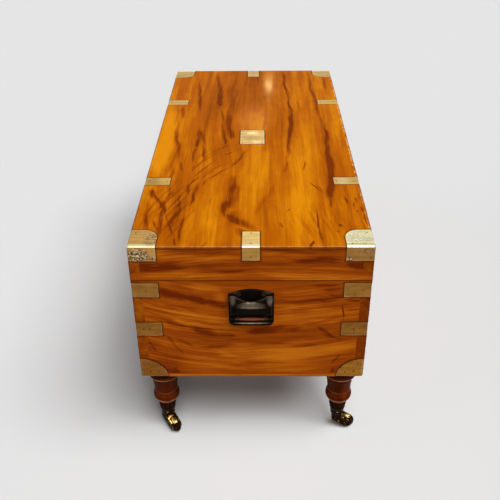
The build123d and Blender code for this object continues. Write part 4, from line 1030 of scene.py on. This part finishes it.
def turned_shape(shape, outline, place, segments):
    """Adds a closed outline in radius and height, spun about the place's own Z."""
    rings = []
    for radius, height in outline:
        count = 1 if radius < 1e-6 else segments
        points = [round_point(radius, math.tau * step / segments, height) for step in range(count)]
        rings.append([shape.verts.new(place @ point) for point in points])
    for low, high in zip(rings, rings[1:]):
        band(shape, low, high)
    if len(rings[0]) > 1:
        band(shape, rings[-1], rings[0])


def islands(node):
    """The separate solids of a CAD node, each as the lowest and highest corner of its box."""
    shape = welded(frame["nodes"][node].data)
    left = set(shape.verts)
    boxes = []
    while left:
        queue = [left.pop()]
        found = []
        while queue:
            vert = queue.pop()
            found.append(vert.co.copy())
            for edge in vert.link_edges:
                other = edge.other_vert(vert)
                if other in left:
                    left.remove(other)
                    queue.append(other)
        low = Vector([min(point[axis] for point in found) for axis in range(3)])
        high = Vector([max(point[axis] for point in found) for axis in range(3)])
        boxes.append((low, high))
    shape.free()
    boxes.sort(key=lambda box: tuple(round(value, 5) for value in (*box[0], *box[1])))
    return boxes


def welded(mesh):
    """A bmesh of a CAD mesh with its seams closed."""
    shape = bmesh.new()
    shape.from_mesh(mesh)
    bmesh.ops.remove_doubles(shape, verts=shape.verts, dist=1e-6)
    return shape


def softened(way_made, node, voxel, material):
    """A casting or forging that stands for a CAD node: its solid with the hard edges eased round."""
    name = way_made + node
    source = frame["nodes"][node].data.copy()
    shape = welded(source)
    shape.to_mesh(source)
    shape.free()
    piece = linked(name + "_rough", source)
    remesh = piece.modifiers.new("Skin", "REMESH")
    remesh.mode = "VOXEL"
    remesh.voxel_size = voxel
    smooth = piece.modifiers.new("Wear", "SMOOTH")
    smooth.factor = 0.5
    smooth.iterations = 3
    depsgraph = bpy.context.evaluated_depsgraph_get()
    mesh = bpy.data.meshes.new_from_object(piece.evaluated_get(depsgraph))
    bpy.data.objects.remove(piece)
    mesh.name = name
    return stand_in(paint(dressed_mesh(name, mesh, 1.2), material), node)


# Pieces
def finish_node(node, material):
    """Gives a CAD node that keeps its shape its finished surface."""
    return paint(frame["nodes"][node], material)


# Boards: grain's axis, shift of the grain, contrast, tone, and the marks that the photo shows
BOARD_GRAIN = {
    "lid_top_board": ("X", (0.0, 0.0, 0.0), 1.15, 0.02, top_marks),
    "lid_right_end_board": ("Y", (2.3, 0.7, 1.9), 1.3, -0.02, lid_end_marks),
    "lid_left_end_board": ("Y", (5.1, 3.3, 0.4), 1.9, -0.04, None),
    "lid_front_board": ("X", (7.7, 1.2, 2.6), 1.8, -0.03, None),
    "lid_back_board": ("X", (1.4, 6.6, 3.8), 1.8, -0.03, None),
    "base_right_end_board": ("Y", (9.2, 4.1, 2.2), 1.2, -0.02, base_end_marks),
    "base_left_end_board": ("Y", (3.6, 8.8, 5.5), 1.9, -0.04, None),
    "base_front_board": ("X", (6.3, 2.9, 7.1), 1.9, -0.035, None),
    "base_back_board": ("X", (8.5, 5.7, 1.3), 1.9, -0.035, None),
    "base_bottom_planks": ("Y", (0.9, 9.4, 4.6), 0.8, 0.16, None),
}


class TRUNK_OT_boards(bpy.types.Operator):
    """Polish the camphor boards of the case and the lid"""

    bl_idname = "trunk.boards"
    bl_label = "Camphor boards"

    def execute(self, context):
        for node, grain in BOARD_GRAIN.items():
            finish_node(node, board_wood(node, context.scene.trunk_wood, *grain))
        return {"FINISHED"}


# The height of the castor cup's rim, which the turned leg's foot stands on
LEG_FOOT = 0.0635


def leg_outline():
    """The leg's outline from the tenon's tip, which sits in the cup, up to the spigot."""
    points = [(0.0, 0.0443), (0.0112, 0.0443), (0.0133, LEG_FOOT), (0.0160, LEG_FOOT)]
    points += arc((0.0160, LEG_FOOT + 0.0006), (0.0163, LEG_FOOT + 0.0015), (0.0163, 0.0660), 3)
    points += arc(points[-1], (0.0184, 0.0712), (0.0172, 0.0758), 10)
    points += [(0.0166, 0.0763), (0.0170, 0.0770)]
    points += arc(points[-1], (0.0186, 0.0828), (0.0226, 0.0874), 10)
    points += [(0.0228, 0.0880)]
    points += arc((0.0230, 0.0881), (0.0280, 0.0990), (0.0252, 0.1116), 16)
    points += [(0.0248, 0.1121), (0.0251, 0.1127)]
    points += arc(points[-1], (0.0266, 0.1370), (0.0308, 0.1572), 20)
    points += [(0.0306, 0.1579), (0.0311, 0.1584)]
    points += arc(points[-1], (0.0342, 0.1600), (0.0350, 0.1626), 6)
    points += [(0.0350, 0.1668), (0.0345, 0.1672), (0.0345, 0.1678), (0.0350, 0.1682)]
    points += [(0.0350, 0.1796)]
    points += arc(points[-1], (0.0344, 0.1813), (0.0331, 0.1820), 4)
    points += [(0.0110, 0.1820), (0.0110, 0.1948), (0.0, 0.1948)]
    return points


class TRUNK_OT_legs(bpy.types.Operator):
    """Turn the four legs and let them into the bottom planks"""

    bl_idname = "trunk.legs"
    bl_label = "Turned legs"

    def execute(self, context):
        wood = leg_wood("turned_leg_wood", context.scene.trunk_wood)
        for corner in CORNERS:
            low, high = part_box("leg_" + corner)
            place = Matrix.Translation(((low.x + high.x) / 2, (low.y + high.y) / 2, 0.0))
            shape = bmesh.new()
            turned_shape(shape, leg_outline(), place, context.scene.trunk_fittings.segments)
            remade("turned_", "leg_" + corner, shape, wood, 0.75)
        return {"FINISHED"}


# Etched places on the near corners: centre, reach, strength
ETCHED_LEFT = (
    ((0.474, -0.186, 0.502), (0.034, 0.020, 0.006), 0.55),
    ((0.500, -0.212, 0.4825), (0.004, 0.029, 0.021), 1.0),
    ((0.500, -0.184, 0.474), (0.004, 0.010, 0.010), 0.6),
)
ETCHED_RIGHT = (
    ((0.472, 0.203, 0.502), (0.040, 0.035, 0.006), 0.3),
    ((0.500, 0.216, 0.492), (0.004, 0.020, 0.010), 0.35),
    ((0.500, 0.183, 0.473), (0.004, 0.009, 0.006), 0.8),
)

# Mounts: tarnish, shade of the drops, shade of the top, etched places, crease
MOUNT_FINISHES = {
    "lid_corner_front_right": (0.3, (1.22, 1.3, 2.3), (0.72, 0.58, 0.42), ETCHED_LEFT),
    # This corner's top is painted pale: partly its polish, partly a painted highlight of the lamps' glare
    "lid_corner_back_right": (0.15, (0.84, 0.8, 1.25), (1.2, 1.5, 2.9), ETCHED_RIGHT, 0.4912),
    "lid_corner_front_left": (0.4, (1.0, 1.0, 1.3), (0.74, 0.67, 0.48)),
    "lid_corner_back_left": (0.4, (1.0, 1.0, 1.3), (0.74, 0.66, 0.44)),
    "lid_side_straps": (0.35, (1.0, 1.05, 1.4), (0.82, 0.74, 0.5)),
    "lid_end_straps": (0.25, (1.08, 1.14, 1.7), (0.93, 0.96, 0.98)),
    "lid_centre_plate": (0.9, PLAIN, (0.88, 0.9, 0.94)),
    "base_upper_straps": (0.55, (0.78, 0.68, 0.78)),
    "base_middle_straps": (0.7, (0.7, 0.57, 0.6)),
    "base_corner_front_right": (1.25, (0.88, 0.61, 0.44)),
    "base_corner_back_right": (1.15, (1.14, 0.92, 0.6)),
    "base_corner_front_left": (1.0, (0.75, 0.6, 0.5)),
    "base_corner_back_left": (1.0, (0.75, 0.6, 0.5)),
}


class TRUNK_OT_brass_mounts(bpy.types.Operator):
    """Age the let-in brass corners, straps and centre plate"""

    bl_idname = "trunk.brass_mounts"
    bl_label = "Brass mounts"

    def execute(self, context):
        for node, finish in MOUNT_FINISHES.items():
            finish_node(node, mount_brass(node + "_brass", context.scene.trunk_metal, *finish))
        return {"FINISHED"}


def pin_outline(radius, length, dome):
    """A pin from its tip to a low domed head."""
    points = [(0.0, -length), (radius, -length), (radius, -dome * 0.9)]
    points += arc((radius, -dome * 0.9), (radius * 0.62, -dome * 0.36), (0.0, 0.0), 5)[:-1]
    return points + [(0.0, 0.0)]


def facing_frame(tip, outward):
    """A frame at a point, with Z along a direction."""
    return Matrix.Translation(tip) @ outward.to_track_quat("Z", "Y").to_matrix().to_4x4()


def outward_place(low, high, way=0):
    """A pin's or screw's frame at its head, its length and its axis; way nought is out of the case."""
    size = high - low
    axis = max(range(3), key=lambda index: size[index])
    centre = (low + high) / 2
    reference = centre.z - CASE_MIDDLE if axis == 2 else centre[axis]
    way = way or (1 if reference > 0 else -1)
    tip = centre.copy()
    tip[axis] = high[axis] if way > 0 else low[axis]
    outward = Vector([way if index == axis else 0.0 for index in range(3)])
    return facing_frame(tip, outward), size[axis], axis


class TRUNK_OT_brass_pins(bpy.types.Operator):
    """Head the small brass pins that hold the mounts"""

    bl_idname = "trunk.brass_pins"
    bl_label = "Brass pins"

    def execute(self, context):
        settings = context.scene.trunk_metal
        dark = cast_brass("pin_brass", settings, 0.15)
        dull = mount_brass("upper_pin_brass", settings, *MOUNT_FINISHES["base_upper_straps"])
        for node in ("base_brass_pins", "lid_brass_pins"):
            shape = bmesh.new()
            for low, high in islands(node):
                place, length, axis = outward_place(low, high)
                across = min(high[index] - low[index] for index in range(3) if index != axis)
                made = len(shape.faces)
                turned_shape(shape, pin_outline(across / 2, length, PIN_DOME), place, PIN_SEGMENTS)
                # Pins in the upper straps take the same finish as the straps
                if abs((low.z + high.z) / 2 - UPPER_STRAPS) < 0.01:
                    for face in list(shape.faces)[made:]:
                        face.material_index = 1
            remade("domed_", node, shape, dark).data.materials.append(dull)
        return {"FINISHED"}


def slotted_head(shape, place, head, shank, sink, length, settings):
    """Adds a countersunk screw with a real slot across its head."""
    deep = head * settings.slot_depth
    opening = math.asin(settings.slot_width)

    def spot(radius, angle, height):
        return shape.verts.new(place @ round_point(radius, angle, height))

    sweep = math.pi - 2 * opening
    upper = [opening + sweep * step / HEAD_STEPS for step in range(HEAD_STEPS + 1)]
    angles = upper + [angle + math.pi for angle in upper]
    half = len(upper)
    rim = [spot(head, angle, 0.0) for angle in angles[:half]]
    shape.faces.new(rim)
    rim += [spot(head, angle, 0.0) for angle in angles[half:]]
    shape.faces.new(rim[half:])
    slot_ends = (opening, math.pi - opening, math.pi + opening, math.tau - opening)
    floor = [spot(head * 0.985, angle, -deep) for angle in slot_ends]
    shape.faces.new(floor)
    shape.faces.new([rim[0], rim[half - 1], floor[1], floor[0]])
    shape.faces.new([rim[half], rim[-1], floor[3], floor[2]])
    seat = [spot(head * 0.96, angle, -max(deep, sink * 0.3) - sink * 0.05) for angle in angles]
    count = len(angles)
    for step in range(count):
        after = (step + 1) % count
        if after % half:
            shape.faces.new([rim[step], rim[after], seat[after], seat[step]])
            continue
        # The slot's open ends
        first, second = (floor[1], floor[2]) if after else (floor[3], floor[0])
        shape.faces.new([first, second, seat[after], seat[step]])
        shape.faces.new([rim[step], first, seat[step]])
        shape.faces.new([rim[after], seat[after], second])
    neck = [spot(shank, angle, -max(sink, deep * 1.4)) for angle in angles]
    tip = [spot(shank * 0.9, angle, -length) for angle in angles]
    band(shape, seat, neck)
    band(shape, neck, tip)
    shape.faces.new(tip)


# Screws: node, head radius, shank radius, countersink depth in metres, and which way the head looks
SCREW_NODES = (
    ("handle_screws", 0.0050, 0.0024, 0.0022, 0),
    ("hinge_screws_base", 0.0034, 0.0018, 0.0015, 1),
    ("hinge_screws_lid", 0.0034, 0.0018, 0.0015, -1),
    ("lock_screws", 0.0028, 0.0016, 0.0010, 1),
    ("lock_link_screws", 0.0028, 0.0016, 0.0010, -1),
    ("castor_cup_screws", 0.0016, 0.0014, 0.0004, 0),
)


class TRUNK_OT_screws(bpy.types.Operator):
    """Cut a slot in every screw of the handles, hinges, lock and castor cups"""

    bl_idname = "trunk.screws"
    bl_label = "Slotted screws"

    def execute(self, context):
        scene = context.scene
        iron = black_iron("screw_iron", scene.trunk_metal, (), 0.12)
        brass = cast_brass("screw_brass", scene.trunk_metal, 0.8)
        for node, head, shank, sink, way in SCREW_NODES:
            shape = bmesh.new()
            for count, (low, high) in enumerate(islands(node)):
                if node == "castor_cup_screws":
                    place, length = cup_screw_place(low, high)
                else:
                    place, length, _ = outward_place(low, high, way)
                place = place @ Matrix.Rotation(0.7 + 1.9 * count, 4, "Z")
                slotted_head(shape, place, head, shank, sink, length, scene.trunk_fittings)
            remade("slotted_", node, shape, iron if node == "handle_screws" else brass, 0.5)
        return {"FINISHED"}


def cup_screw_place(low, high):
    """A castor cup screw's frame at its head, square to the cup, and its length."""
    size = high - low
    centre = (low + high) / 2
    leg_x = math.copysign(LEG_X, centre.x)
    leg_y = math.copysign(LEG_Y, centre.y)
    outward = Vector((centre.x - leg_x, centre.y - leg_y, 0.0)).normalized()
    reach = max(abs(size.x * outward.x), abs(size.y * outward.y)) / 2
    return facing_frame(centre + outward * reach, outward), 2 * reach


# The bail's section at the grip and at its arms, point for point, in millimetres
GRIP_SECTION = (
    (521.6, 376.0), (521.0, 380.0), (519.4, 383.2), (517.0, 385.0), (514.6, 385.4),
    (512.2, 384.4), (510.0, 382.0), (508.8, 378.5), (508.2, 374.0), (508.2, 369.0),
    (508.8, 364.0), (509.8, 359.5), (511.5, 356.6), (513.6, 355.6), (515.6, 356.6),
    (516.8, 359.2), (517.6, 362.5), (518.8, 366.0), (520.2, 369.0), (521.3, 372.5),
)
ARM_SECTION = (
    (521.8, 376.0), (521.0, 381.0), (519.8, 389.0), (518.8, 396.0), (517.8, 399.6),
    (514.2, 400.1), (511.2, 398.0), (508.4, 394.0), (507.5, 389.0), (507.7, 378.0),
    (508.3, 366.0), (509.8, 360.0), (512.0, 356.6), (515.0, 355.6), (517.6, 356.8),
    (519.4, 359.2), (520.6, 362.6), (521.4, 366.4), (521.9, 370.0), (521.95, 373.0),
)
# Where along the grip and arms the section is drawn, in metres from the middle
BAIL_STATIONS = (0.0, 0.006, 0.012, 0.016, 0.0195, 0.0225, 0.025, 0.0275, 0.030, 0.0325, 0.0365, 0.0393)
# The points of the section that make its crown, and where the crown and the rest have risen
CROWN_POINTS = range(3, 8)
CROWN_END = 0.0315
SWELL_START = 0.022
SWELL_LENGTH = 0.0125
BAIL_HALF = 0.0402
PIVOT = (0.513, 0.3915)
TRUNNION = 0.003
TRUNNION_END = 0.0435


def bail_sections():
    """The bail's sections from its middle to its eased end, each with its distance from the middle."""
    sections = []
    for across in BAIL_STATIONS:
        share = min(max((across - SWELL_START) / SWELL_LENGTH, 0.0), 1.0)
        share = share * share * (3 - 2 * share)
        crown = min(across / CROWN_END, 1.0) ** 1.6
        section = []
        for point, ((grip_x, grip_z), (arm_x, arm_z)) in enumerate(zip(GRIP_SECTION, ARM_SECTION)):
            grown = crown if point in CROWN_POINTS else share
            section.append((grip_x + (arm_x - grip_x) * grown, grip_z + (arm_z - grip_z) * grown))
        sections.append((across, section))
    middle_x, middle_z = (sum(values) / len(ARM_SECTION) for values in zip(*ARM_SECTION))
    eased = [(middle_x + (x - middle_x) * 0.88, middle_z + (z - middle_z) * 0.95) for x, z in ARM_SECTION]
    return sections + [(BAIL_HALF, eased)]


def bail_shape(shape, way, segments):
    """Adds a bail: a barrel grip that swells into two arms, with a trunnion outside each."""
    sections = bail_sections()
    whole = [(-across, section) for across, section in reversed(sections[1:])] + sections
    rings = []
    for across, section in whole:
        rings.append([shape.verts.new((way * x / MM, across, z / MM)) for x, z in section])
    for low, high in zip(rings, rings[1:]):
        band(shape, low, high)
    shape.faces.new(rings[0])
    shape.faces.new(rings[-1])
    inner = BAIL_HALF - 0.004
    rod = [(0.0, inner), (TRUNNION, inner), (TRUNNION, TRUNNION_END - 0.0003)]
    rod += [(TRUNNION - 0.0003, TRUNNION_END), (0.0, TRUNNION_END)]
    for side in (-1, 1):
        turn = Matrix.Rotation(-side * math.pi / 2, 4, "X")
        place = Matrix.Translation((way * PIVOT[0], 0.0, PIVOT[1])) @ turn
        turned_shape(shape, rod, place, segments)


class TRUNK_OT_handles(bpy.types.Operator):
    """Forge the black iron handle plates and their bails"""

    bl_idname = "trunk.handles"
    bl_label = "Iron handles"

    def execute(self, context):
        fittings = context.scene.trunk_fittings
        iron = black_iron("handle_iron", context.scene.trunk_metal, IRON_HIGHLIGHTS, 0.35)
        for side, way in (("right", 1), ("left", -1)):
            softened("forged_", "handle_plate_" + side, fittings.casting_voxel, iron)
            shape = bmesh.new()
            bail_shape(shape, way, fittings.segments // 3)
            remade("forged_", "handle_bail_" + side, shape, iron, 0.9)
        return {"FINISHED"}


# Painted highlights on the near castors, laid as gold showing through: centre, reach and strength
CASTOR_HIGHLIGHTS = (
    ((0.479, -0.178, 0.036), (0.016, 0.015, 0.012), 1.0),
    ((0.463, 0.212, 0.036), (0.013, 0.017, 0.010), 0.5),
)
# A castor's axle in metres: half length, radius, and its rivet heads' radius and rise
AXLE_HALF = 0.0110
AXLE = 0.0025
RIVET = 0.0044
RIVET_RISE = 0.0014
AXLE_SEGMENTS = 32
CUP_CENTRES = ((LEG_X, -LEG_Y), (LEG_X, LEG_Y), (-LEG_X, -LEG_Y), (-LEG_X, LEG_Y))


def cup_outline():
    """The castor cup's outline: a floor with the stud's bore, a tapering wall and a beaded rim."""
    points = [(0.00406, 0.0413), (0.0132, 0.0413), (0.0138, 0.0416), (0.0142, 0.0423)]
    points += [(0.01455, 0.0462), (0.01485, 0.0466), (0.01475, 0.0472), (0.0161, 0.0601)]
    points += arc((0.0161, 0.0603), (0.0173, 0.0619), (0.0163, LEG_FOOT), 8)
    points += [(0.0137, LEG_FOOT), (0.0116, 0.0443), (0.00406, 0.0443)]
    return points


def wheel_outline():
    """The wheel's outline about its axle, with a rounded tread and dished sides."""
    side = [(0.00256, 0.0073), (0.0056, 0.0073), (0.0060, 0.0069), (0.0064, 0.0060)]
    side += [(0.0092, 0.0057), (0.0114, 0.0062), (0.0120, 0.0069)]
    tread = arc((0.0130, -0.0070), (0.0170, 0.0), (0.0130, 0.0070), 16)
    return [(radius, -height) for radius, height in side] + [(0.0130, -0.0070)] + tread + side[::-1]


def axle_outline():
    """A riveted axle's outline between its two domed heads."""
    rim = (RIVET, AXLE_HALF + 0.0001)
    crown = (0.0, AXLE_HALF + RIVET_RISE)
    dome = arc(rim, (RIVET * 0.7, AXLE_HALF + RIVET_RISE * 0.72), crown, 5)
    side = [(AXLE, AXLE_HALF), (RIVET, AXLE_HALF), rim] + dome[:-1] + [crown]
    return [(radius, -height) for radius, height in reversed(side)] + side


class TRUNK_OT_castors(bpy.types.Operator):
    """Cast the castor cups, horns, wheels and axles"""

    bl_idname = "trunk.castors"
    bl_label = "Brass castors"

    def execute(self, context):
        fittings = context.scene.trunk_fittings
        metal = context.scene.trunk_metal
        brass = cast_brass("castor_brass", metal, 0.42, CASTOR_HIGHLIGHTS)
        dark = cast_brass("castor_cup_brass", metal, 0.1)
        shape = bmesh.new()
        for x, y in CUP_CENTRES:
            turned_shape(shape, cup_outline(), Matrix.Translation((x, y, 0.0)), fittings.segments)
        remade("turned_", "castor_cups", shape, dark, 0.75)
        for corner in CORNERS:
            softened("cast_", "castor_horn_" + corner, fittings.casting_voxel, brass)
            place = axle_place(corner)
            shape = bmesh.new()
            turned_shape(shape, wheel_outline(), place, fittings.segments)
            remade("turned_", "castor_wheel_" + corner, shape, brass)
            shape = bmesh.new()
            turned_shape(shape, axle_outline(), place, AXLE_SEGMENTS)
            remade("riveted_", "castor_axle_" + corner, shape, brass)
        return {"FINISHED"}


def axle_place(corner):
    """The frame of a castor's axle: at the wheel's centre, with Z along the axle."""
    low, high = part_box("castor_axle_" + corner)
    centre = (low + high) / 2
    leg_low, leg_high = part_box("leg_" + corner)
    leg = (leg_low + leg_high) / 2
    trail = Vector((centre.x - leg.x, centre.y - leg.y, 0.0)).normalized()
    return facing_frame(centre, Vector((-trail.y, trail.x, 0.0)))


class TRUNK_OT_hinges_and_lock(bpy.types.Operator):
    """Finish the hinges at the back and the lock at the front"""

    bl_idname = "trunk.hinges_and_lock"
    bl_label = "Hinges and lock"

    def execute(self, context):
        settings = context.scene.trunk_metal
        hinge = mount_brass("hinge_brass_finish", settings, 0.55)
        lock = mount_brass("lock_brass_finish", settings, 0.4)
        for node in ("hinge_leaves_base", "hinge_leaves_lid", "hinge_pins"):
            finish_node(node, hinge)
        for node in ("lock_case", "lock_cap", "lock_bolt", "lock_link_plate", "lock_escutcheon"):
            finish_node(node, lock)
        return {"FINISHED"}


# The camera, from the photo's perspective: place in metres, angles in degrees, film in millimetres
CAMERA_PLACE = (1.5981, 0.0134, 1.19417)
CAMERA_YAW = 0.784
CAMERA_PITCH = 32.497
CAMERA_ROLL = -0.538
CAMERA_LENS = 50.884
SENSOR = 36.0
GLINT_DISTANCE = 3.0
GLINT_STRENGTH = 0.75
FLOOR_HALF = 20.0
# Soft lamps: name, setting of its strength, direction it shines from, width in degrees
SOFT_LAMPS = (
    ("side_softbox", "key_power", (0.144, 0.477, 0.867), 32.8),
    ("end_softbox", "fill_power", (0.452, 0.179, 0.874), 30.2),
    ("near_softbox", "near_power", (0.93, 0.08, 0.38), 45.0),
    ("front_softbox", "front_power", (0.2, -0.945, 0.26), 45.0),
)
# Glints: name, where they land on the lid's top, width in metres, colour
GLINTS = (
    ("amber_glint", (-0.368, 0.045), 0.05, (1.0, 0.85, 0.35)),
    ("rose_glint", (-0.091, 0.003), 0.2, (1.0, 0.66, 0.42)),
)


def soft_lamp(name, power, toward, angle):
    """A distant softbox, aimed from a direction and as wide as an angle."""
    data = bpy.data.lights.new(name, "SUN")
    data.energy = power
    data.angle = math.radians(angle)
    linked(name, data).rotation_euler = Vector(toward).to_track_quat("Z", "Y").to_euler()


def glint_lamp(name, power, spot, size, tint):
    """A small lamp beyond the trunk, whose glint in the polish lands on a spot of the lid's top."""
    data = bpy.data.lights.new(name, "AREA")
    data.shape = "DISK"
    data.size = size
    data.energy = power
    data.color = tint
    lamp = linked(name, data)
    there = Vector((*spot, LID_TOP))
    mirrored = (there - Vector(CAMERA_PLACE)).normalized() * Vector((1.0, 1.0, -1.0))
    lamp.location = there + mirrored * GLINT_DISTANCE
    lamp.rotation_euler = mirrored.to_track_quat("Z", "Y").to_euler()
    lamp.visible_camera = False
    lamp.visible_diffuse = False


def camera_turn():
    """The camera's axes: right, up and back."""
    yaw, pitch, roll = (math.radians(value) for value in (CAMERA_YAW, CAMERA_PITCH, CAMERA_ROLL))
    forward = Vector((-math.cos(yaw) * math.cos(pitch), -math.sin(yaw) * math.cos(pitch), -math.sin(pitch)))
    right = forward.cross(Vector((0.0, 0.0, 1.0))).normalized()
    up = right.cross(forward)
    level = Matrix((right, up, -forward)).transposed()
    return (level @ Matrix.Rotation(roll, 3, "Z")).to_4x4()


def studio_sky(settings):
    """A pale backdrop to the camera that lights the trunk only a little."""
    world = bpy.data.worlds.new("Studio sky")
    world.use_nodes = True
    world.node_tree.nodes.clear()
    bench = Bench(world.node_tree)
    light = bench.between(seen_rays(bench), settings.sky, settings.floor_tone)
    sky = bench.put("ShaderNodeBackground", {"Color": (1.0, 1.0, 1.0, 1.0), "Strength": light})
    bench.put("ShaderNodeOutputWorld", {"Surface": sky.outputs[0]})
    return world


class TRUNK_OT_stage(bpy.types.Operator):
    """Set the pale floor, the soft light and the camera"""

    bl_idname = "trunk.stage"
    bl_label = "Studio stage"

    def execute(self, context):
        scene = context.scene
        settings = scene.trunk_stage
        shape = bmesh.new()
        bmesh.ops.create_grid(shape, x_segments=8, y_segments=8, size=FLOOR_HALF)
        floor = mesh_object("studio_floor", shape, 0.6)
        paint(floor, floor_paint("floor_paint", settings))
        scene.world = studio_sky(settings)
        for name, power, toward, angle in SOFT_LAMPS:
            soft_lamp(name, getattr(settings, power), toward, angle)
        for name, *look in GLINTS:
            glint_lamp(name, GLINT_STRENGTH * settings.glint_power, *look)
        data = bpy.data.cameras.new("photo_camera")
        data.sensor_width = SENSOR
        data.lens = CAMERA_LENS
        camera = linked("photo_camera", data)
        camera.matrix_world = Matrix.Translation(CAMERA_PLACE) @ camera_turn()
        scene.camera = camera
        scene.view_settings.view_transform = "Standard"
        return {"FINISHED"}


OPERATORS = (
    TRUNK_OT_stage,
    TRUNK_OT_boards,
    TRUNK_OT_legs,
    TRUNK_OT_brass_mounts,
    TRUNK_OT_brass_pins,
    TRUNK_OT_castors,
    TRUNK_OT_handles,
    TRUNK_OT_screws,
    TRUNK_OT_hinges_and_lock,
)


class TRUNK_PT_panel(bpy.types.Panel):
    """Lists the trunk's parts and their settings"""

    bl_idname = "TRUNK_PT_panel"
    bl_label = "Camphor trunk"
    bl_space_type = "VIEW_3D"
    bl_region_type = "UI"
    bl_category = "Trunk"

    def draw(self, context):
        layout = self.layout
        for operator in OPERATORS:
            layout.operator(operator.bl_idname)
        for name, group in SETTINGS.items():
            box = layout.box()
            for field in group.__annotations__:
                box.prop(getattr(context.scene, name), field)


CLASSES = (*SETTINGS.values(), *OPERATORS, TRUNK_PT_panel)


def register():
    """Makes the settings, operators and panel known to Blender."""
    for entry in CLASSES:
        bpy.utils.register_class(entry)
    for name, group in SETTINGS.items():
        setattr(bpy.types.Scene, name, PointerProperty(type=group))


def unregister():
    """Takes the settings, operators and panel out of Blender again."""
    for name in SETTINGS:
        delattr(bpy.types.Scene, name)
    for entry in reversed(CLASSES):
        bpy.utils.unregister_class(entry)


def main():
    """Registers the add-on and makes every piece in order."""
    register()
    bpy.ops.trunk.stage()
    bpy.ops.trunk.boards()
    bpy.ops.trunk.legs()
    bpy.ops.trunk.brass_mounts()
    bpy.ops.trunk.brass_pins()
    bpy.ops.trunk.castors()
    bpy.ops.trunk.handles()
    bpy.ops.trunk.screws()
    bpy.ops.trunk.hinges_and_lock()


if __name__ == "__main__":
    main()
